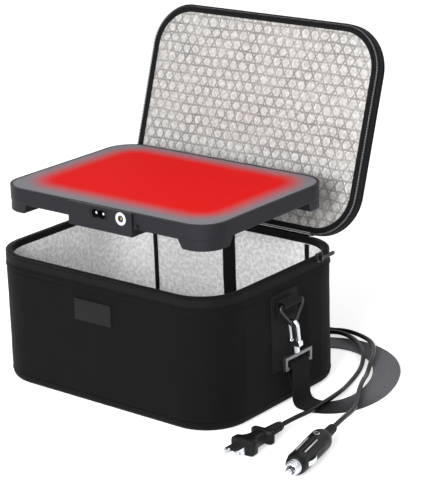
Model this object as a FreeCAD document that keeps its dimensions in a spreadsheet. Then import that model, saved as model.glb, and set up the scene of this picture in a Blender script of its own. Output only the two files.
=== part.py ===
import FreeCAD, Part
import math
import os
import re
import Sketcher
from FreeCAD import Placement, Rotation, Vector

# Soft insulated lunch bag with a zipped lid, and the electric heating plate that lies in it.
# Millimetres. X runs along the front, Y from front to back, Z up.
# The origin is the middle of the bag's underside.

# Driving sizes
SIZES = {
    # Bag shell
    "bag_length": 280,
    "bag_width": 208,
    "bag_height": 130,
    "bag_corner": 45,
    "fabric_thick": 1.3,
    "foam_thick": 4.5,
    "foil_thick": 0.7,
    "base_height": 9,
    "base_edge": 7,
    "base_wall": 7,
    "board_thick": 2,
    "rim_height": 9,
    "rim_cover": 3,
    # Zip and hinge
    "zip_tape": 0.8,
    "zip_coil_width": 2.4,
    "zip_coil_height": 1.8,
    "hinge_gap": 0.5,
    "hinge_side_gap": 0.2,
    "lid_gap": 0.3,
    # Lid
    "lid_height": 14,
    "lid_open": 108,
    "lid_edge": 4,
    "lid_border": 8.5,
    "lid_zip_height": 9,
    "lid_rim_height": 1.5,
    # Tapes and patches
    "seam_tape_width": 17.5,
    "side_tape_width": 5,
    "side_tape_inset": 43,
    "tape_thick": 0.9,
    "tape_low_gap": 2.3,
    "tape_wall_gap": 0.3,
    "label_length": 45,
    "label_height": 21,
    "label_middle": -2,
    "label_drop": 25,
    "label_thick": 0.8,
    "patch_width": 40,
    "patch_drop": 18,
    "patch_height": 76,
    "patch_thick": 1.2,
    # Zip sliders
    "slider_size": 9,
    "slider_thick": 3,
    "slider_gap": 0.3,
    "pull_length": 20,
    "pull_height": 4.2,
    "pull_thick": 1.2,
    "pull_pin": 0.7,
    "pull_wall": 0.6,
    "pull_ear": 1.2,
    "pivot_gap": 0.15,
    # Strap hardware
    "ring_stand": 7.3,
    "ring_below": 27,
    "ring_half": 20.5,
    "ring_drop": 25.2,
    "ring_skew": 3,
    "ring_wire": 3.2,
    "ring_bend": 3.2,
    "ring_tip_bend": 4,
    "webbing": 1.6,
    "webbing_gap": 0.4,
    "loop_width": 26,
    "loop_tail": 24,
    "hook_wire": 4,
    "hook_reach": 4.5,
    "hook_length": 15.5,
    "hook_tilt": 8,
    "hook_seat_gap": 0.3,
    "hook_nose": 1,
    "hook_base_height": 5,
    "hook_base_width": 6,
    "gate_wire": 2.8,
    "gate_width": 3.2,
    "gate_pin": 0.7,
    "gate_knuckle": 2,
    "barrel_radius": 3.5,
    "barrel_length": 7,
    "barrel_wall": 1.1,
    "post_radius": 1.4,
    "post_head": 2,
    "post_head_height": 1.5,
    "frame_length": 41,
    "frame_height": 13,
    "frame_bar": 3,
    "frame_hang": 65,
    "frame_place": 9,
    # Shoulder strap
    "strap_width": 27,
    "strap_bar_gap": 0.3,
    "strap_bend": 10,
    "strap_floor_gap": 0.2,
    # Heating plate
    "plate_length": 258,
    "plate_width": 186,
    "plate_corner": 28,
    "plate_slab": 16,
    "plate_feet": 10,
    "plate_gap": 0.3,
    "plate_raise": 159,
    "plate_wall": 3,
    "plate_ledge": 2.5,
    "plate_floor": 2,
    "plate_edge": 2.5,
    "top_thick": 1.5,
    "cover_thick": 1.5,
    "cover_inset": 36,
    "cover_corner": 4,
    "cover_gap": 0.2,
    "film_length": 220,
    "film_width": 144,
    "film_thick": 1.2,
    "film_back": 8,
    "film_corner": 12,
    "pad_thick": 6,
    "pad_window": 44,
    "thermostat_radius": 8,
    "thermostat_height": 7,
    "fuse_radius": 2.2,
    "fuse_length": 14,
    "foot_top": 22,
    "foot_bottom": 15,
    "foot_inset": 22,
    "foot_pad_radius": 6,
    "foot_pad_thick": 1,
    "screw_radius": 1.5,
    "screw_head": 3,
    "screw_head_height": 1.5,
    "screw_inset": 8,
    "screw_gap": 0.1,
    # Inlet block on the front of the plate
    "boss_length": 78,
    "boss_middle": 3,
    "boss_proud": 2.5,
    "boss_depth": 24,
    "boss_low": 3.5,
    "nub_place": 46,
    "nub_high": 13.6,
    "nub_radius": 2,
    "inlet_middle": 2,
    "inlet_high": 19.3,
    "inlet_length": 21,
    "inlet_height": 9.8,
    "inlet_depth": 18,
    "inlet_round": 4.1,
    "inlet_waist": 6.6,
    "inlet_hole": 12,
    "inlet_pitch": 8.6,
    "inlet_gap": 0.1,
    "pin_radius": 1.2,
    "pin_length": 10,
    "jack_middle": 29.6,
    "jack_radius": 5,
    "jack_ring": 6.2,
    "jack_ring_thick": 0.8,
    "jack_bore": 3.2,
    "jack_hole": 9,
    "jack_depth": 15,
    "jack_pin": 1,
    "wire_radius": 1.1,
    # Leads
    "cord_thick": 4.6,
    "coil_gap": 0.5,
    "coil_outer": 33.6,
    "coil_tail": 22,
    "coil_run_out": 21,
    "plug_run_in": 21,
    "ac_coil_x": 2,
    "ac_coil_y": 182,
    "car_coil_x": -84,
    "car_coil_y": 212,
    "plug_sleeve": 25,
    "plug_sleeve_thin": 3.4,
    "plug_sleeve_thick": 4.6,
    "plug_length": 33,
    "plug_width": 25,
    "plug_height": 15.6,
    "plug_round": 3.5,
    "blade_pitch": 12.7,
    "blade_thick": 1.5,
    "blade_height": 6.3,
    "blade_length": 17,
    "ac_plug_x": 177.3,
    "ac_plug_y": -57,
    "connector_sleeve": 12,
    "connector_sleeve_radius": 3.4,
    "connector_length": 24,
    "connector_width": 15.5,
    "connector_height": 7.6,
    "connector_socket": 9,
    "car_plug_x": 222.5,
    "car_plug_y": -39,
    "car_plug_turn": 13.2,
    "car_sleeve": 22,
    "car_shoulder": 8,
    "car_body_length": 52,
    "car_body_radius": 10.5,
    "car_nose_length": 15,
    "car_nose_radius": 9.6,
    "car_nose_end_radius": 7.6,
    "car_bore": 3.4,
    "car_bore_depth": 24,
    "car_fuse_radius": 3.1,
    "car_fuse_length": 30,
    "car_tip_radius": 3,
    "car_tip_out": 14,
    "car_tip_travel": 4,
    "car_tip_gap": 0.3,
    "contact_length": 20,
    "contact_width": 5,
    "contact_thick": 0.8,
    "dc_sleeve": 11,
    "dc_body_radius": 4.8,
    "dc_body_length": 20,
    "dc_barrel_radius": 2.75,
    "dc_barrel_length": 9.5,
    "dc_barrel_bore": 1.1,
}

# The routes below were chosen by hand beside a bag whose end lies this far from its middle.
ROUTE_REACH = 140

# Cord routes on the surface behind and beside the bag, from coil to plug.
# The first two points of each are worked out from its coil and the last two from its plug.
AC_ROUTE = [
    (46, 156, 2.3),
    (62, 165, 2.3),
    (80, 171, 8.7),
    (108, 163, 8.7),
    (136, 136, 8.7),
    (148, 115, 2.3),
    (157, 93, 2.3),
    (165, 66, 2.3),
    (175, 37, 8.7),
    (178, -12, 8.7),
]
CAR_ROUTE = [
    (-32, 243, 2.3),
    (-7, 234, 2.3),
    (17, 220.5, 2.3),
    (38, 203, 2.3),
    (48, 186, 2.3),
    (63, 177.5, 2.3),
    (85, 178, 8.7),
    (108, 174, 8.7),
    (129, 163, 8.7),
    (145, 140, 8.7),
    (157, 116, 8.7),
    (166, 97, 2.3),
    (175, 77, 8.7),
    (188, 51, 8.7),
    (206, 21, 8.7),
    (212, 2, 9),
]

# Middle line of the strap where it lies on the surface, on the right side and behind the bag.
STRAP_ROUTE = [
    (174, 9.8),
    (185, 17),
    (192.5, 31),
    (195.5, 50),
    (194, 71),
    (186, 98),
    (172, 124),
    (153, 144),
    (128, 156.5),
    (102, 159),
    (78, 149),
    (54, 134),
    (27, 126.5),
    (0, 125),
]

HALF_TURNS_IN = 6
HALF_TURNS_OUT = 5

doc = FreeCAD.newDocument("HeatedLunchBag")
sheet = doc.addObject("Spreadsheet::Sheet", "Sizes")
for row, (alias, value) in enumerate(SIZES.items(), 1):
    sheet.set(f"A{row}", alias)
    sheet.set(f"B{row}", str(value))
    sheet.setAlias(f"B{row}", alias)
doc.recompute()

ALIASES = re.compile(r"\b(" + "|".join(SIZES) + r")\b")
nodes = []


# Sheet and document helpers
def cells(text):
    """Turn the aliases in an expression into references to the sheet."""
    return ALIASES.sub(r"Sizes.\1", str(text))


def size(text):
    """Work out an expression of the sheet's aliases as a number."""
    return float(sheet.evalExpression(cells(text)))


def bind(item, **texts):
    """Bind properties to expressions of the sheet's aliases."""
    for name, text in texts.items():
        item.setExpression(name.replace("__", "."), cells(text))


def place(item, x="0", y="0", z="0"):
    """Bind where an object stands."""
    bind(item, Placement__Base__x=x, Placement__Base__y=y, Placement__Base__z=z)
    return item


def node(item, name):
    """Keep an object as a piece of the part, under its own name."""
    item.Label = name
    nodes.append(item)
    return item


# Primitives and booleans
def box(name, x, y, z):
    """Make a block from its low and high places along each axis."""
    item = doc.addObject("Part::Box", name)
    bind(item, Length=f"({x[1]}) - ({x[0]})", Width=f"({y[1]}) - ({y[0]})", Height=f"({z[1]}) - ({z[0]})")
    return place(item, x[0], y[0], z[0])


ALONG = {"x": Rotation(Vector(0, 1, 0), 90), "y": Rotation(Vector(-1, 0, 0), 90), "z": Rotation()}


def stand_along(item, axis, low, across):
    """Point a round solid along an axis, from a low place, at two places across it."""
    item.Placement = Placement(Vector(), ALONG[axis])
    first, second = across
    where = {"x": (low, first, second), "y": (first, low, second), "z": (first, second, low)}
    return place(item, *where[axis])


def rod(name, axis, radius, span, across):
    """Make a cylinder along an axis, over a span of it."""
    item = doc.addObject("Part::Cylinder", name)
    bind(item, Radius=radius, Height=f"({span[1]}) - ({span[0]})")
    return stand_along(item, axis, span[0], across)


def cone(name, axis, radii, span, across):
    """Make a cone along an axis, from one radius to the other."""
    item = doc.addObject("Part::Cone", name)
    bind(item, Radius1=radii[0], Radius2=radii[1], Height=f"({span[1]}) - ({span[0]})")
    return stand_along(item, axis, span[0], across)


def cut(name, base, tool):
    """Cut one object out of another."""
    item = doc.addObject("Part::Cut", name)
    item.Base = base
    item.Tool = tool
    return item


def join(name, items):
    """Make one solid of objects that touch."""
    item = doc.addObject("Part::MultiFuse", name)
    item.Shapes = items
    return item


def together(name, items):
    """Keep like solids in one object."""
    item = doc.addObject("Part::Compound", name)
    item.Links = items
    return item


def mirror(name, source):
    """Mirror a right-hand object to the left."""
    item = doc.addObject("Part::Mirroring", name)
    item.Source = source
    item.Normal = Vector(1, 0, 0)
    return item


def shaped(name, shape):
    """Keep a shape made with code as an object."""
    item = doc.addObject("Part::Feature", name)
    item.Shape = shape
    return item


# Sketched bodies
class Outline:
    """A rounded rectangle about a place on the Y axis, its sizes as expressions."""

    def __init__(self, length, width, corner, middle="0"):
        self.length = length
        self.width = width
        self.corner = corner
        self.middle = middle

    def inset(self, by):
        """Give the same outline drawn in on every side."""
        return Outline(
            f"({self.length} - 2 * ({by}))",
            f"({self.width} - 2 * ({by}))",
            f"({self.corner} - ({by}))",
            self.middle,
        )


def level_sketch(body, low):
    """Start a level sketch in a body at a height."""
    plane = next(item for item in body.Origin.OriginFeatures if item.Role == "XY_Plane")
    sketch = body.newObject("Sketcher::SketchObject", f"{body.Name}_sketch")
    sketch.AttachmentSupport = [(plane, "")]
    sketch.MapMode = "FlatFace"
    bind(sketch, AttachmentOffset__Base__z=low)
    return sketch


def draw(sketch, outline):
    """Draw a rounded rectangle in a sketch and constrain it fully."""
    radius = size(outline.corner)
    reach_x = size(outline.length) / 2 - radius
    reach_y = size(outline.width) / 2 - radius
    middle = Vector(0, size(outline.middle), 0)
    first = sketch.GeometryCount
    signs = [(1, -1), (1, 1), (-1, 1), (-1, -1)]
    centres = [middle + Vector(along * reach_x, across * reach_y, 0) for along, across in signs]
    ways = [Vector(0, -radius, 0), Vector(radius, 0, 0), Vector(0, radius, 0), Vector(-radius, 0, 0)]
    for number, centre in enumerate(centres):
        start_angle = math.radians(90 * number - 90)
        circle = Part.Circle(centre, Vector(0, 0, 1), radius)
        sketch.addGeometry(Part.ArcOfCircle(circle, start_angle, start_angle + math.pi / 2))
        following = (number + 1) % 4
        sketch.addGeometry(Part.LineSegment(centre + ways[following], centres[following] + ways[following]))
    for number in range(4):
        arc = first + 2 * number
        next_arc = first + (2 * number + 2) % 8
        sketch.addConstraint(Sketcher.Constraint("Tangent", arc, 2, arc + 1, 1))
        sketch.addConstraint(Sketcher.Constraint("Tangent", arc + 1, 2, next_arc, 1))
    for number in (1, 2, 3):
        sketch.addConstraint(Sketcher.Constraint("Equal", first, first + 2 * number))
    index = sketch.addConstraint(Sketcher.Constraint("Radius", first, radius))
    sketch.setExpression(f"Constraints[{index}]", cells(outline.corner))
    for number, (along, across) in enumerate(signs):
        arc = first + 2 * number
        centre = centres[number]
        index = sketch.addConstraint(Sketcher.Constraint("DistanceX", -1, 1, arc, 3, centre.x))
        text = f"{along} * ({outline.length} / 2 - {outline.corner})"
        sketch.setExpression(f"Constraints[{index}]", cells(text))
        index = sketch.addConstraint(Sketcher.Constraint("DistanceY", -1, 1, arc, 3, centre.y))
        text = f"{outline.middle} + {across} * ({outline.width} / 2 - {outline.corner})"
        sketch.setExpression(f"Constraints[{index}]", cells(text))


def pad(name, outlines, low, high, body=None):
    """Pad an outline, or the ring between two, from one height to another."""
    body = body or doc.addObject("PartDesign::Body", name)
    sketch = level_sketch(body, low)
    for outline in outlines:
        draw(sketch, outline)
    feature = body.newObject("PartDesign::Pad", f"{name}_pad")
    feature.Profile = sketch
    bind(feature, Length=f"({high}) - ({low})")
    return body


def pocket(body, outlines, start, end):
    """Cut an outline, or the ring between two, out of a body and make sure that it cuts."""
    doc.recompute()
    volume = body.Shape.Volume
    sketch = level_sketch(body, start)
    for outline in outlines:
        draw(sketch, outline)
    upward = size(end) > size(start)
    feature = body.newObject("PartDesign::Pocket", f"{body.Name}_pocket")
    feature.Profile = sketch
    feature.Reversed = upward
    bind(feature, Length=f"({end}) - ({start})" if upward else f"({start}) - ({end})")
    doc.recompute()
    if body.Shape.Volume > volume - 1:
        raise RuntimeError(f"a pocket of {body.Name} cuts nothing")
    return body


def round_level(body, height, radius):
    """Round the edges of a body that lie level at a height."""
    doc.recompute()
    level = size(height)
    names = []
    for number, edge in enumerate(body.Shape.Edges, 1):
        bounds = edge.BoundBox
        if abs(bounds.ZMin - level) < 1e-4 and abs(bounds.ZMax - level) < 1e-4:
            names.append(f"Edge{number}")
    base = body.Tip
    feature = body.newObject("PartDesign::Fillet", f"{body.Name}_round")
    feature.Base = (base, names)
    bind(feature, Radius=radius)
    return body


# Paths and tubes made with code
def rounded_path(points, radius=None, share=0.45):
    """Join points with straight runs and a tangent arc at each inner point."""
    edges = []
    radii = []
    start = points[0]
    for before, corner, after in zip(points, points[1:], points[2:]):
        back = before - corner
        ahead = after - corner
        half_turn = (math.pi - back.getAngle(ahead)) / 2
        reach = share * min(back.Length, ahead.Length)
        if radius is not None:
            reach = radius * math.tan(half_turn)
        bend = reach / math.tan(half_turn)
        arc_start = corner + Vector(back).normalize() * reach
        arc_end = corner + Vector(ahead).normalize() * reach
        inward = Vector(Vector(back).normalize() + Vector(ahead).normalize()).normalize()
        middle = corner + inward * (bend / math.cos(half_turn) - bend)
        edges.append(Part.LineSegment(start, arc_start).toShape())
        edges.append(Part.Arc(arc_start, middle, arc_end).toShape())
        radii.append(bend)
        start = arc_end
    edges.append(Part.LineSegment(start, points[-1]).toShape())
    return edges, radii


def tube(name, edges, radius):
    """Sweep a circle along a path and compare the volume with the section times the length."""
    first = edges[0]
    middle = first.valueAt(first.FirstParameter)
    circle = Part.makeCircle(radius, middle, first.tangentAt(first.FirstParameter))
    path = Part.Wire(edges)
    solid = path.makePipeShell([Part.Wire([circle])], True, False)
    share = solid.Volume / (math.pi * radius**2 * path.Length)
    print(f"{name}: length {path.Length:.1f}, volume share {share:.4f}")
    if not solid.isValid() or abs(share - 1) > 0.01:
        raise RuntimeError(f"the tube of {name} is not whole")
    return solid


def arc_leaving(start, heading, end):
    """Give the middle point of the arc that leaves a point along a heading and ends at another."""
    chord = end - start
    along = Vector(chord).normalize()
    heading = Vector(heading).normalize()
    sine_way = heading - along * heading.dot(along)
    angle = heading.getAngle(along)
    bend = chord.Length / (2 * math.sin(angle))
    return (start + end) * 0.5 + Vector(sine_way).normalize() * bend * (1 - math.cos(angle))


# Shared expressions
WALL = "(fabric_thick + foam_thick + foil_thick)"
BEHIND_FOIL = "(fabric_thick + foam_thick)"
RIM_LOW = "(bag_height - rim_height)"
FOAM_TOP = "(bag_height - rim_cover)"
COIL_LOW = "(bag_height - zip_coil_height)"
FLOOR_TOP = "(base_height + foil_thick)"
INSIDE_BACK = f"(bag_width / 2 - {WALL})"
STRAIGHT_X = "(bag_length / 2 - bag_corner)"
STRAIGHT_Y = "(bag_width / 2 - bag_corner)"
BACK = "(bag_width / 2)"
SIDE = "(bag_length / 2)"
PATCH_HIGH = "(bag_height - patch_drop)"
BAG = Outline("bag_length", "bag_width", "bag_corner")
LID = Outline("bag_length", "(bag_width - hinge_gap)", "bag_corner", "(-(bag_width + hinge_gap) / 2)")


# Bag shell
def make_base():
    """The moulded tray under the bag, its board and its foam."""
    tray = pad("base_fabric", [BAG], "0", "base_height")
    round_level(tray, "0", "base_edge")
    pocket(tray, [BAG.inset("base_wall")], "base_height", "fabric_thick")
    node(tray, "base_fabric")
    board_top = "(fabric_thick + board_thick)"
    node(pad("base_board", [BAG.inset("base_wall")], "fabric_thick", board_top), "base_board")
    node(pad("base_foam", [BAG.inset("base_wall")], board_top, "base_height"), "base_foam")


def make_walls():
    """The outer fabric, the foam of the walls and the foil lining."""
    node(pad("side_fabric", [BAG, BAG.inset("fabric_thick")], "base_height", RIM_LOW), "side_fabric")
    foam = [BAG.inset("fabric_thick"), BAG.inset(BEHIND_FOIL)]
    node(pad("wall_foam", foam, "base_height", FOAM_TOP), "wall_foam")
    liner = pad("foil_liner", [BAG.inset(BEHIND_FOIL)], "base_height", RIM_LOW)
    pocket(liner, [BAG.inset(WALL)], RIM_LOW, FLOOR_TOP)
    node(liner, "foil_liner")


def make_rim():
    """The bound edge round the mouth, over the top of the foam."""
    rim = pad("rim_binding", [BAG.inset("zip_tape"), BAG.inset(WALL)], RIM_LOW, COIL_LOW)
    pad("rim_binding_top", [BAG.inset("zip_coil_width"), BAG.inset(WALL)], COIL_LOW, "bag_height", rim)
    pocket(rim, [BAG.inset("fabric_thick"), BAG.inset(BEHIND_FOIL)], RIM_LOW, FOAM_TOP)
    node(rim, "rim_binding")


def make_bag_zip():
    """The lower half of the zip, open along the straight of the back, and the fabric hinge there."""
    ring = pad("bag_zip_ring", [BAG, BAG.inset("zip_tape")], RIM_LOW, COIL_LOW)
    pad("bag_zip_coil", [BAG, BAG.inset("zip_coil_width")], COIL_LOW, "bag_height", ring)
    span_x = (f"-{STRAIGHT_X}", STRAIGHT_X)
    behind = (f"{BACK} - 2 * zip_coil_width", f"{BACK} + zip_coil_width")
    gap = box("bag_zip_gap", span_x, behind, (f"{RIM_LOW} - zip_tape", "bag_height + zip_tape"))
    node(cut("bag_zip", ring, gap), "bag_zip")
    hinge_x = (f"-({STRAIGHT_X} - hinge_side_gap)", f"{STRAIGHT_X} - hinge_side_gap")
    hinge_z = (RIM_LOW, "bag_height - lid_gap")
    node(box("hinge_fabric", hinge_x, (f"{BACK} - zip_tape", BACK), hinge_z), "hinge_fabric")


def make_tapes():
    """The wide seam tape and the two narrow ones on the inside of the back wall."""
    tape_z = (f"{FLOOR_TOP} + tape_low_gap", f"{RIM_LOW} - hinge_gap")
    wide_x = ("-seam_tape_width / 2", "seam_tape_width / 2")
    wide = box("tape_wide", wide_x, (f"{INSIDE_BACK} - tape_thick", INSIDE_BACK), tape_z)
    near = f"{INSIDE_BACK} - tape_wall_gap"
    outer = f"{SIDE} - side_tape_inset"
    narrow_x = (f"{outer} - side_tape_width / 2", f"{outer} + side_tape_width / 2")
    right = box("tape_right", narrow_x, (f"{near} - tape_thick", near), tape_z)
    node(together("back_straps", [wide, right, mirror("tape_left", right)]), "back_straps")


def make_patches():
    """The label patch on the front and the patch behind the strap hardware on each end."""
    label_x = ("label_middle - label_length / 2", "label_middle + label_length / 2")
    label_y = (f"-{BACK} - label_thick", f"-{BACK}")
    label_z = ("bag_height - label_drop - label_height", "bag_height - label_drop")
    node(box("label_patch", label_x, label_y, label_z), "label_patch")
    patch_y = ("-patch_width / 2", "patch_width / 2")
    patch_z = (f"{PATCH_HIGH} - patch_height", PATCH_HIGH)
    patch = box("patch_right", (SIDE, f"{SIDE} + patch_thick"), patch_y, patch_z)
    node(together("side_patches", [patch, mirror("patch_left", patch)]), "side_patches")


# Lid, built closed over the hinge line at the back of the rim and then opened
def open_lid(item, name):
    """Stand a piece of the lid on the hinge line and open it."""
    item.Placement = Placement(Vector(), Rotation(Vector(-1, 0, 0), size("lid_open")))
    bind(item, Placement__Rotation__Angle="lid_open * 1 deg")
    return node(place(item, "0", BACK, "bag_height"), name)


def make_lid():
    """The lid: fabric, foam, foil, inner rim, its half of the zip and of the hinge."""
    inner_top = "(lid_height - fabric_thick)"
    rim_low = "(2 * lid_gap)"
    rim_top = f"({rim_low} + lid_rim_height)"
    fabric = pad("lid_fabric", [LID], "lid_zip_height", "lid_height")
    round_level(fabric, "lid_height", "lid_edge")
    pocket(fabric, [LID.inset("fabric_thick")], "lid_zip_height", inner_top)
    open_lid(fabric, "lid_fabric")
    open_lid(pad("lid_foam", [LID.inset("fabric_thick")], rim_top, inner_top), "lid_foam")
    border = LID.inset("lid_border")
    open_lid(pad("lid_liner", [border], f"{rim_top} - foil_thick", rim_top), "lid_liner")
    open_lid(pad("lid_rim", [LID.inset("zip_coil_width"), border], rim_low, rim_top), "lid_rim")
    ring = pad("lid_zip_ring", [LID, LID.inset("zip_tape")], rim_top, "lid_zip_height")
    pad("lid_zip_coil", [LID, LID.inset("zip_coil_width")], "lid_gap", rim_top, ring)
    span_x = (f"-{STRAIGHT_X}", STRAIGHT_X)
    gap_y = ("-2 * zip_coil_width", "zip_coil_width")
    gap = box("lid_zip_gap", span_x, gap_y, ("0", "lid_zip_height + zip_tape"))
    open_lid(cut("lid_zip", ring, gap), "lid_zip")
    hinge_x = (f"-({STRAIGHT_X} - hinge_side_gap)", f"{STRAIGHT_X} - hinge_side_gap")
    hinge_y = ("-hinge_gap - zip_tape", "-hinge_gap")
    strip = box("lid_hinge_strip", hinge_x, hinge_y, ("lid_gap", "lid_zip_height"))
    open_lid(together("lid_hinge_fabric", [strip]), "lid_hinge_fabric")


# Zip sliders at the back end of the straight sides
def make_sliders():
    """A slider with its ears and pin on each side, and its pull laid flat along the zip."""
    face = f"({SIDE} + slider_gap + slider_thick)"
    middle_y = f"({STRAIGHT_Y} - slider_size / 2)"
    middle_z = "(bag_height + lid_gap / 2)"
    knuckle_radius = "(pull_pin + pivot_gap + pull_wall)"
    pin_x = f"({face} + {knuckle_radius} + pivot_gap)"
    half = "slider_size / 2"
    body_y = (f"{middle_y} - {half}", f"{middle_y} + {half}")
    body_z = (f"{middle_z} - {half}", f"{middle_z} + {half}")
    body = box("slider_body", (f"{SIDE} + slider_gap", face), body_y, body_z)
    ear_x = (face, f"{pin_x} + pull_pin + pull_wall")
    ear_y = (f"{middle_y} - pull_pin - pull_wall", f"{middle_y} + pull_pin + pull_wall")
    inner = "(pull_height / 2 + pivot_gap)"
    low = box("slider_ear_low", ear_x, ear_y, (f"{middle_z} - {inner} - pull_ear", f"{middle_z} - {inner}"))
    high = box("slider_ear_high", ear_x, ear_y, (f"{middle_z} + {inner}", f"{middle_z} + {inner} + pull_ear"))
    pin_z = (f"{middle_z} - {inner}", f"{middle_z} + {inner}")
    pin = rod("slider_pin", "z", "pull_pin", pin_z, (pin_x, middle_y))
    slider = join("zip_slider_right", [body, low, high, pin])
    node(slider, "zip_slider_right")
    node(mirror("zip_slider_left", slider), "zip_slider_left")
    pull_z = (f"{middle_z} - pull_height / 2", f"{middle_z} + pull_height / 2")
    knuckle = rod("pull_knuckle", "z", knuckle_radius, pull_z, (pin_x, middle_y))
    tab_x = (f"{pin_x} - pull_thick / 2", f"{pin_x} + pull_thick / 2")
    tab = box("pull_tab", tab_x, (middle_y, f"{middle_y} + pull_length"), pull_z)
    bore = rod("pull_bore", "z", "pull_pin + pivot_gap", pull_z, (pin_x, middle_y))
    pull = cut("zip_pull_right", join("pull_blank", [knuckle, tab]), bore)
    node(pull, "zip_pull_right")
    node(mirror("zip_pull_left", pull), "zip_pull_left")


# Strap hardware on the right end, mirrored to the left
RING_X = f"({SIDE} + patch_thick + ring_stand)"
LOOP_BORE = "(ring_wire / 2 + webbing_gap)"
RING_HIGH = "(bag_height - ring_below)"
TIP_Z = f"({RING_HIGH} - ring_drop)"


def make_ring_loop():
    """The webbing loop round the top bar of the ring, with its tail sewn to the patch."""
    width = ("-loop_width / 2", "loop_width / 2")
    roll = rod("loop_roll", "y", f"{LOOP_BORE} + webbing", width, (RING_X, RING_HIGH))
    patch_face = f"{SIDE} + patch_thick"
    tail_face = f"({patch_face} + 2 * webbing)"
    tail = box("loop_tail", (patch_face, tail_face), width, (f"{PATCH_HIGH} - loop_tail", PATCH_HIGH))
    neck_x = (tail_face, f"{RING_X} - {LOOP_BORE} - webbing / 4")
    neck = box("loop_neck", neck_x, width, (f"{RING_HIGH} - webbing", f"{RING_HIGH} + webbing"))
    bore = rod("loop_bore", "y", LOOP_BORE, width, (RING_X, RING_HIGH))
    loop = cut("ring_loop_right", join("loop_blank", [roll, tail, neck]), bore)
    node(loop, "ring_loop_right")
    node(mirror("ring_loop_left", loop), "ring_loop_left")


def tip_rest():
    """The height of the wire's middle at the lowest point of the ring."""
    half, drop, skew = size("ring_half"), size("ring_drop"), size("ring_skew")
    right = Vector(half - skew, drop, 0)
    left = Vector(-half - skew, drop, 0)
    half_angle = right.getAngle(left) / 2
    bend = size("ring_tip_bend")
    return size(TIP_Z) + bend / math.sin(half_angle) - bend


def make_triangle_ring():
    """The bent wire ring: a level top bar and two sides that meet at a rounded tip."""
    x, high, half = size(RING_X), size(RING_HIGH), size("ring_half")
    top = Vector(x, 0, high)
    right = Vector(x, half, high)
    left = Vector(x, -half, high)
    tip = Vector(x, size("ring_skew"), size(TIP_Z))
    start, _ = rounded_path([top, right, (right + tip) * 0.5], size("ring_bend"))
    bottom, _ = rounded_path([(right + tip) * 0.5, tip, (left + tip) * 0.5], size("ring_tip_bend"))
    end, _ = rounded_path([(left + tip) * 0.5, left, top], size("ring_bend"))
    ring = shaped("triangle_ring_right", tube("triangle_ring", start + bottom + end, size("ring_wire / 2")))
    node(ring, "triangle_ring_right")
    node(mirror("triangle_ring_left", ring), "triangle_ring_left")


def hook_seat():
    """The height of the middle of the hook's bend, where it hangs on the ring's tip."""
    return tip_rest() + size("ring_wire / 2 + hook_seat_gap + hook_wire / 2 - hook_reach")


def hang(item, name):
    """Hang a piece of the hook on the ring's tip, tilted, and mirror it to the left."""
    tilt = Rotation(Vector(1, 0, 0), size("hook_tilt"))
    item.Placement = Placement(Vector(size(RING_X), size("ring_skew"), hook_seat()), tilt)
    node(item, f"{name}_right")
    node(mirror(f"{name}_left", item), f"{name}_left")


PIVOT_Z = "(-hook_length - hook_base_height / 2)"
PIVOT_X = "(-hook_reach)"
BASE_LOW = "(-hook_length - hook_base_height)"
BARREL_BORE = "(barrel_radius - barrel_wall)"


def make_hook():
    """The hook: a bent rod, its base with the gate's pin, and the swivel barrel."""
    reach, length, nose = size("hook_reach"), size("hook_length"), size("hook_nose")
    bend = Part.Arc(Vector(-reach, 0, 0), Vector(0, 0, reach), Vector(reach, 0, 0)).toShape()
    nose_edge = Part.LineSegment(Vector(-reach, 0, -nose), Vector(-reach, 0, 0)).toShape()
    limb_edge = Part.LineSegment(Vector(reach, 0, 0), Vector(reach, 0, -length)).toShape()
    bar = shaped("hook_bar", tube("hook_bar", [nose_edge, bend, limb_edge], size("hook_wire / 2")))
    half = "hook_base_width / 2"
    outer = "(hook_reach + hook_wire / 2)"
    base_z = (BASE_LOW, "-hook_length")
    block = box("hook_block", (f"-{outer} - pull_wall", outer), (f"-{half}", half), base_z)
    barrel = rod("hook_barrel", "z", "barrel_radius", (f"{BASE_LOW} - barrel_length", BASE_LOW), ("0", "0"))
    blank = join("hook_blank", [bar, block, barrel])
    slot_x = (f"-2 * {outer}", f"{PIVOT_X} + gate_knuckle + 4 * pivot_gap")
    slot_y = ("-gate_width / 2 - pivot_gap", "gate_width / 2 + pivot_gap")
    slot = box("hook_slot", slot_x, slot_y, (f"{BASE_LOW} - 1", "-hook_length + 1"))
    bore_z = (f"{BASE_LOW} - barrel_length - 1", f"{BASE_LOW} - barrel_wall")
    bore = rod("hook_bore", "z", BARREL_BORE, bore_z, ("0", "0"))
    pin = rod("hook_pin", "y", "gate_pin", (f"-{half}", half), (PIVOT_X, PIVOT_Z))
    body = cut("hook_body", cut("hook_slotted", blank, slot), bore)
    hang(join("snap_hook_right", [body, pin]), "snap_hook")


def make_gate():
    """The gate: a rod that stands on a knuckle round the hook's pin."""
    width = ("-gate_width / 2", "gate_width / 2")
    knuckle = rod("gate_round", "y", "gate_knuckle", width, (PIVOT_X, PIVOT_Z))
    stem = rod("gate_stem", "z", "gate_wire / 2", (PIVOT_Z, "-hook_nose - hook_seat_gap"), (PIVOT_X, "0"))
    bore = rod("gate_bore", "y", "gate_pin + pivot_gap", ("-gate_width", "gate_width"), (PIVOT_X, PIVOT_Z))
    hang(cut("hook_gate_right", join("gate_blank", [knuckle, stem]), bore), "hook_gate")


FRAME_LOW = f"({RING_HIGH} - frame_hang)"
BAR_Z = f"({FRAME_LOW} + frame_bar / 2)"


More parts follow.
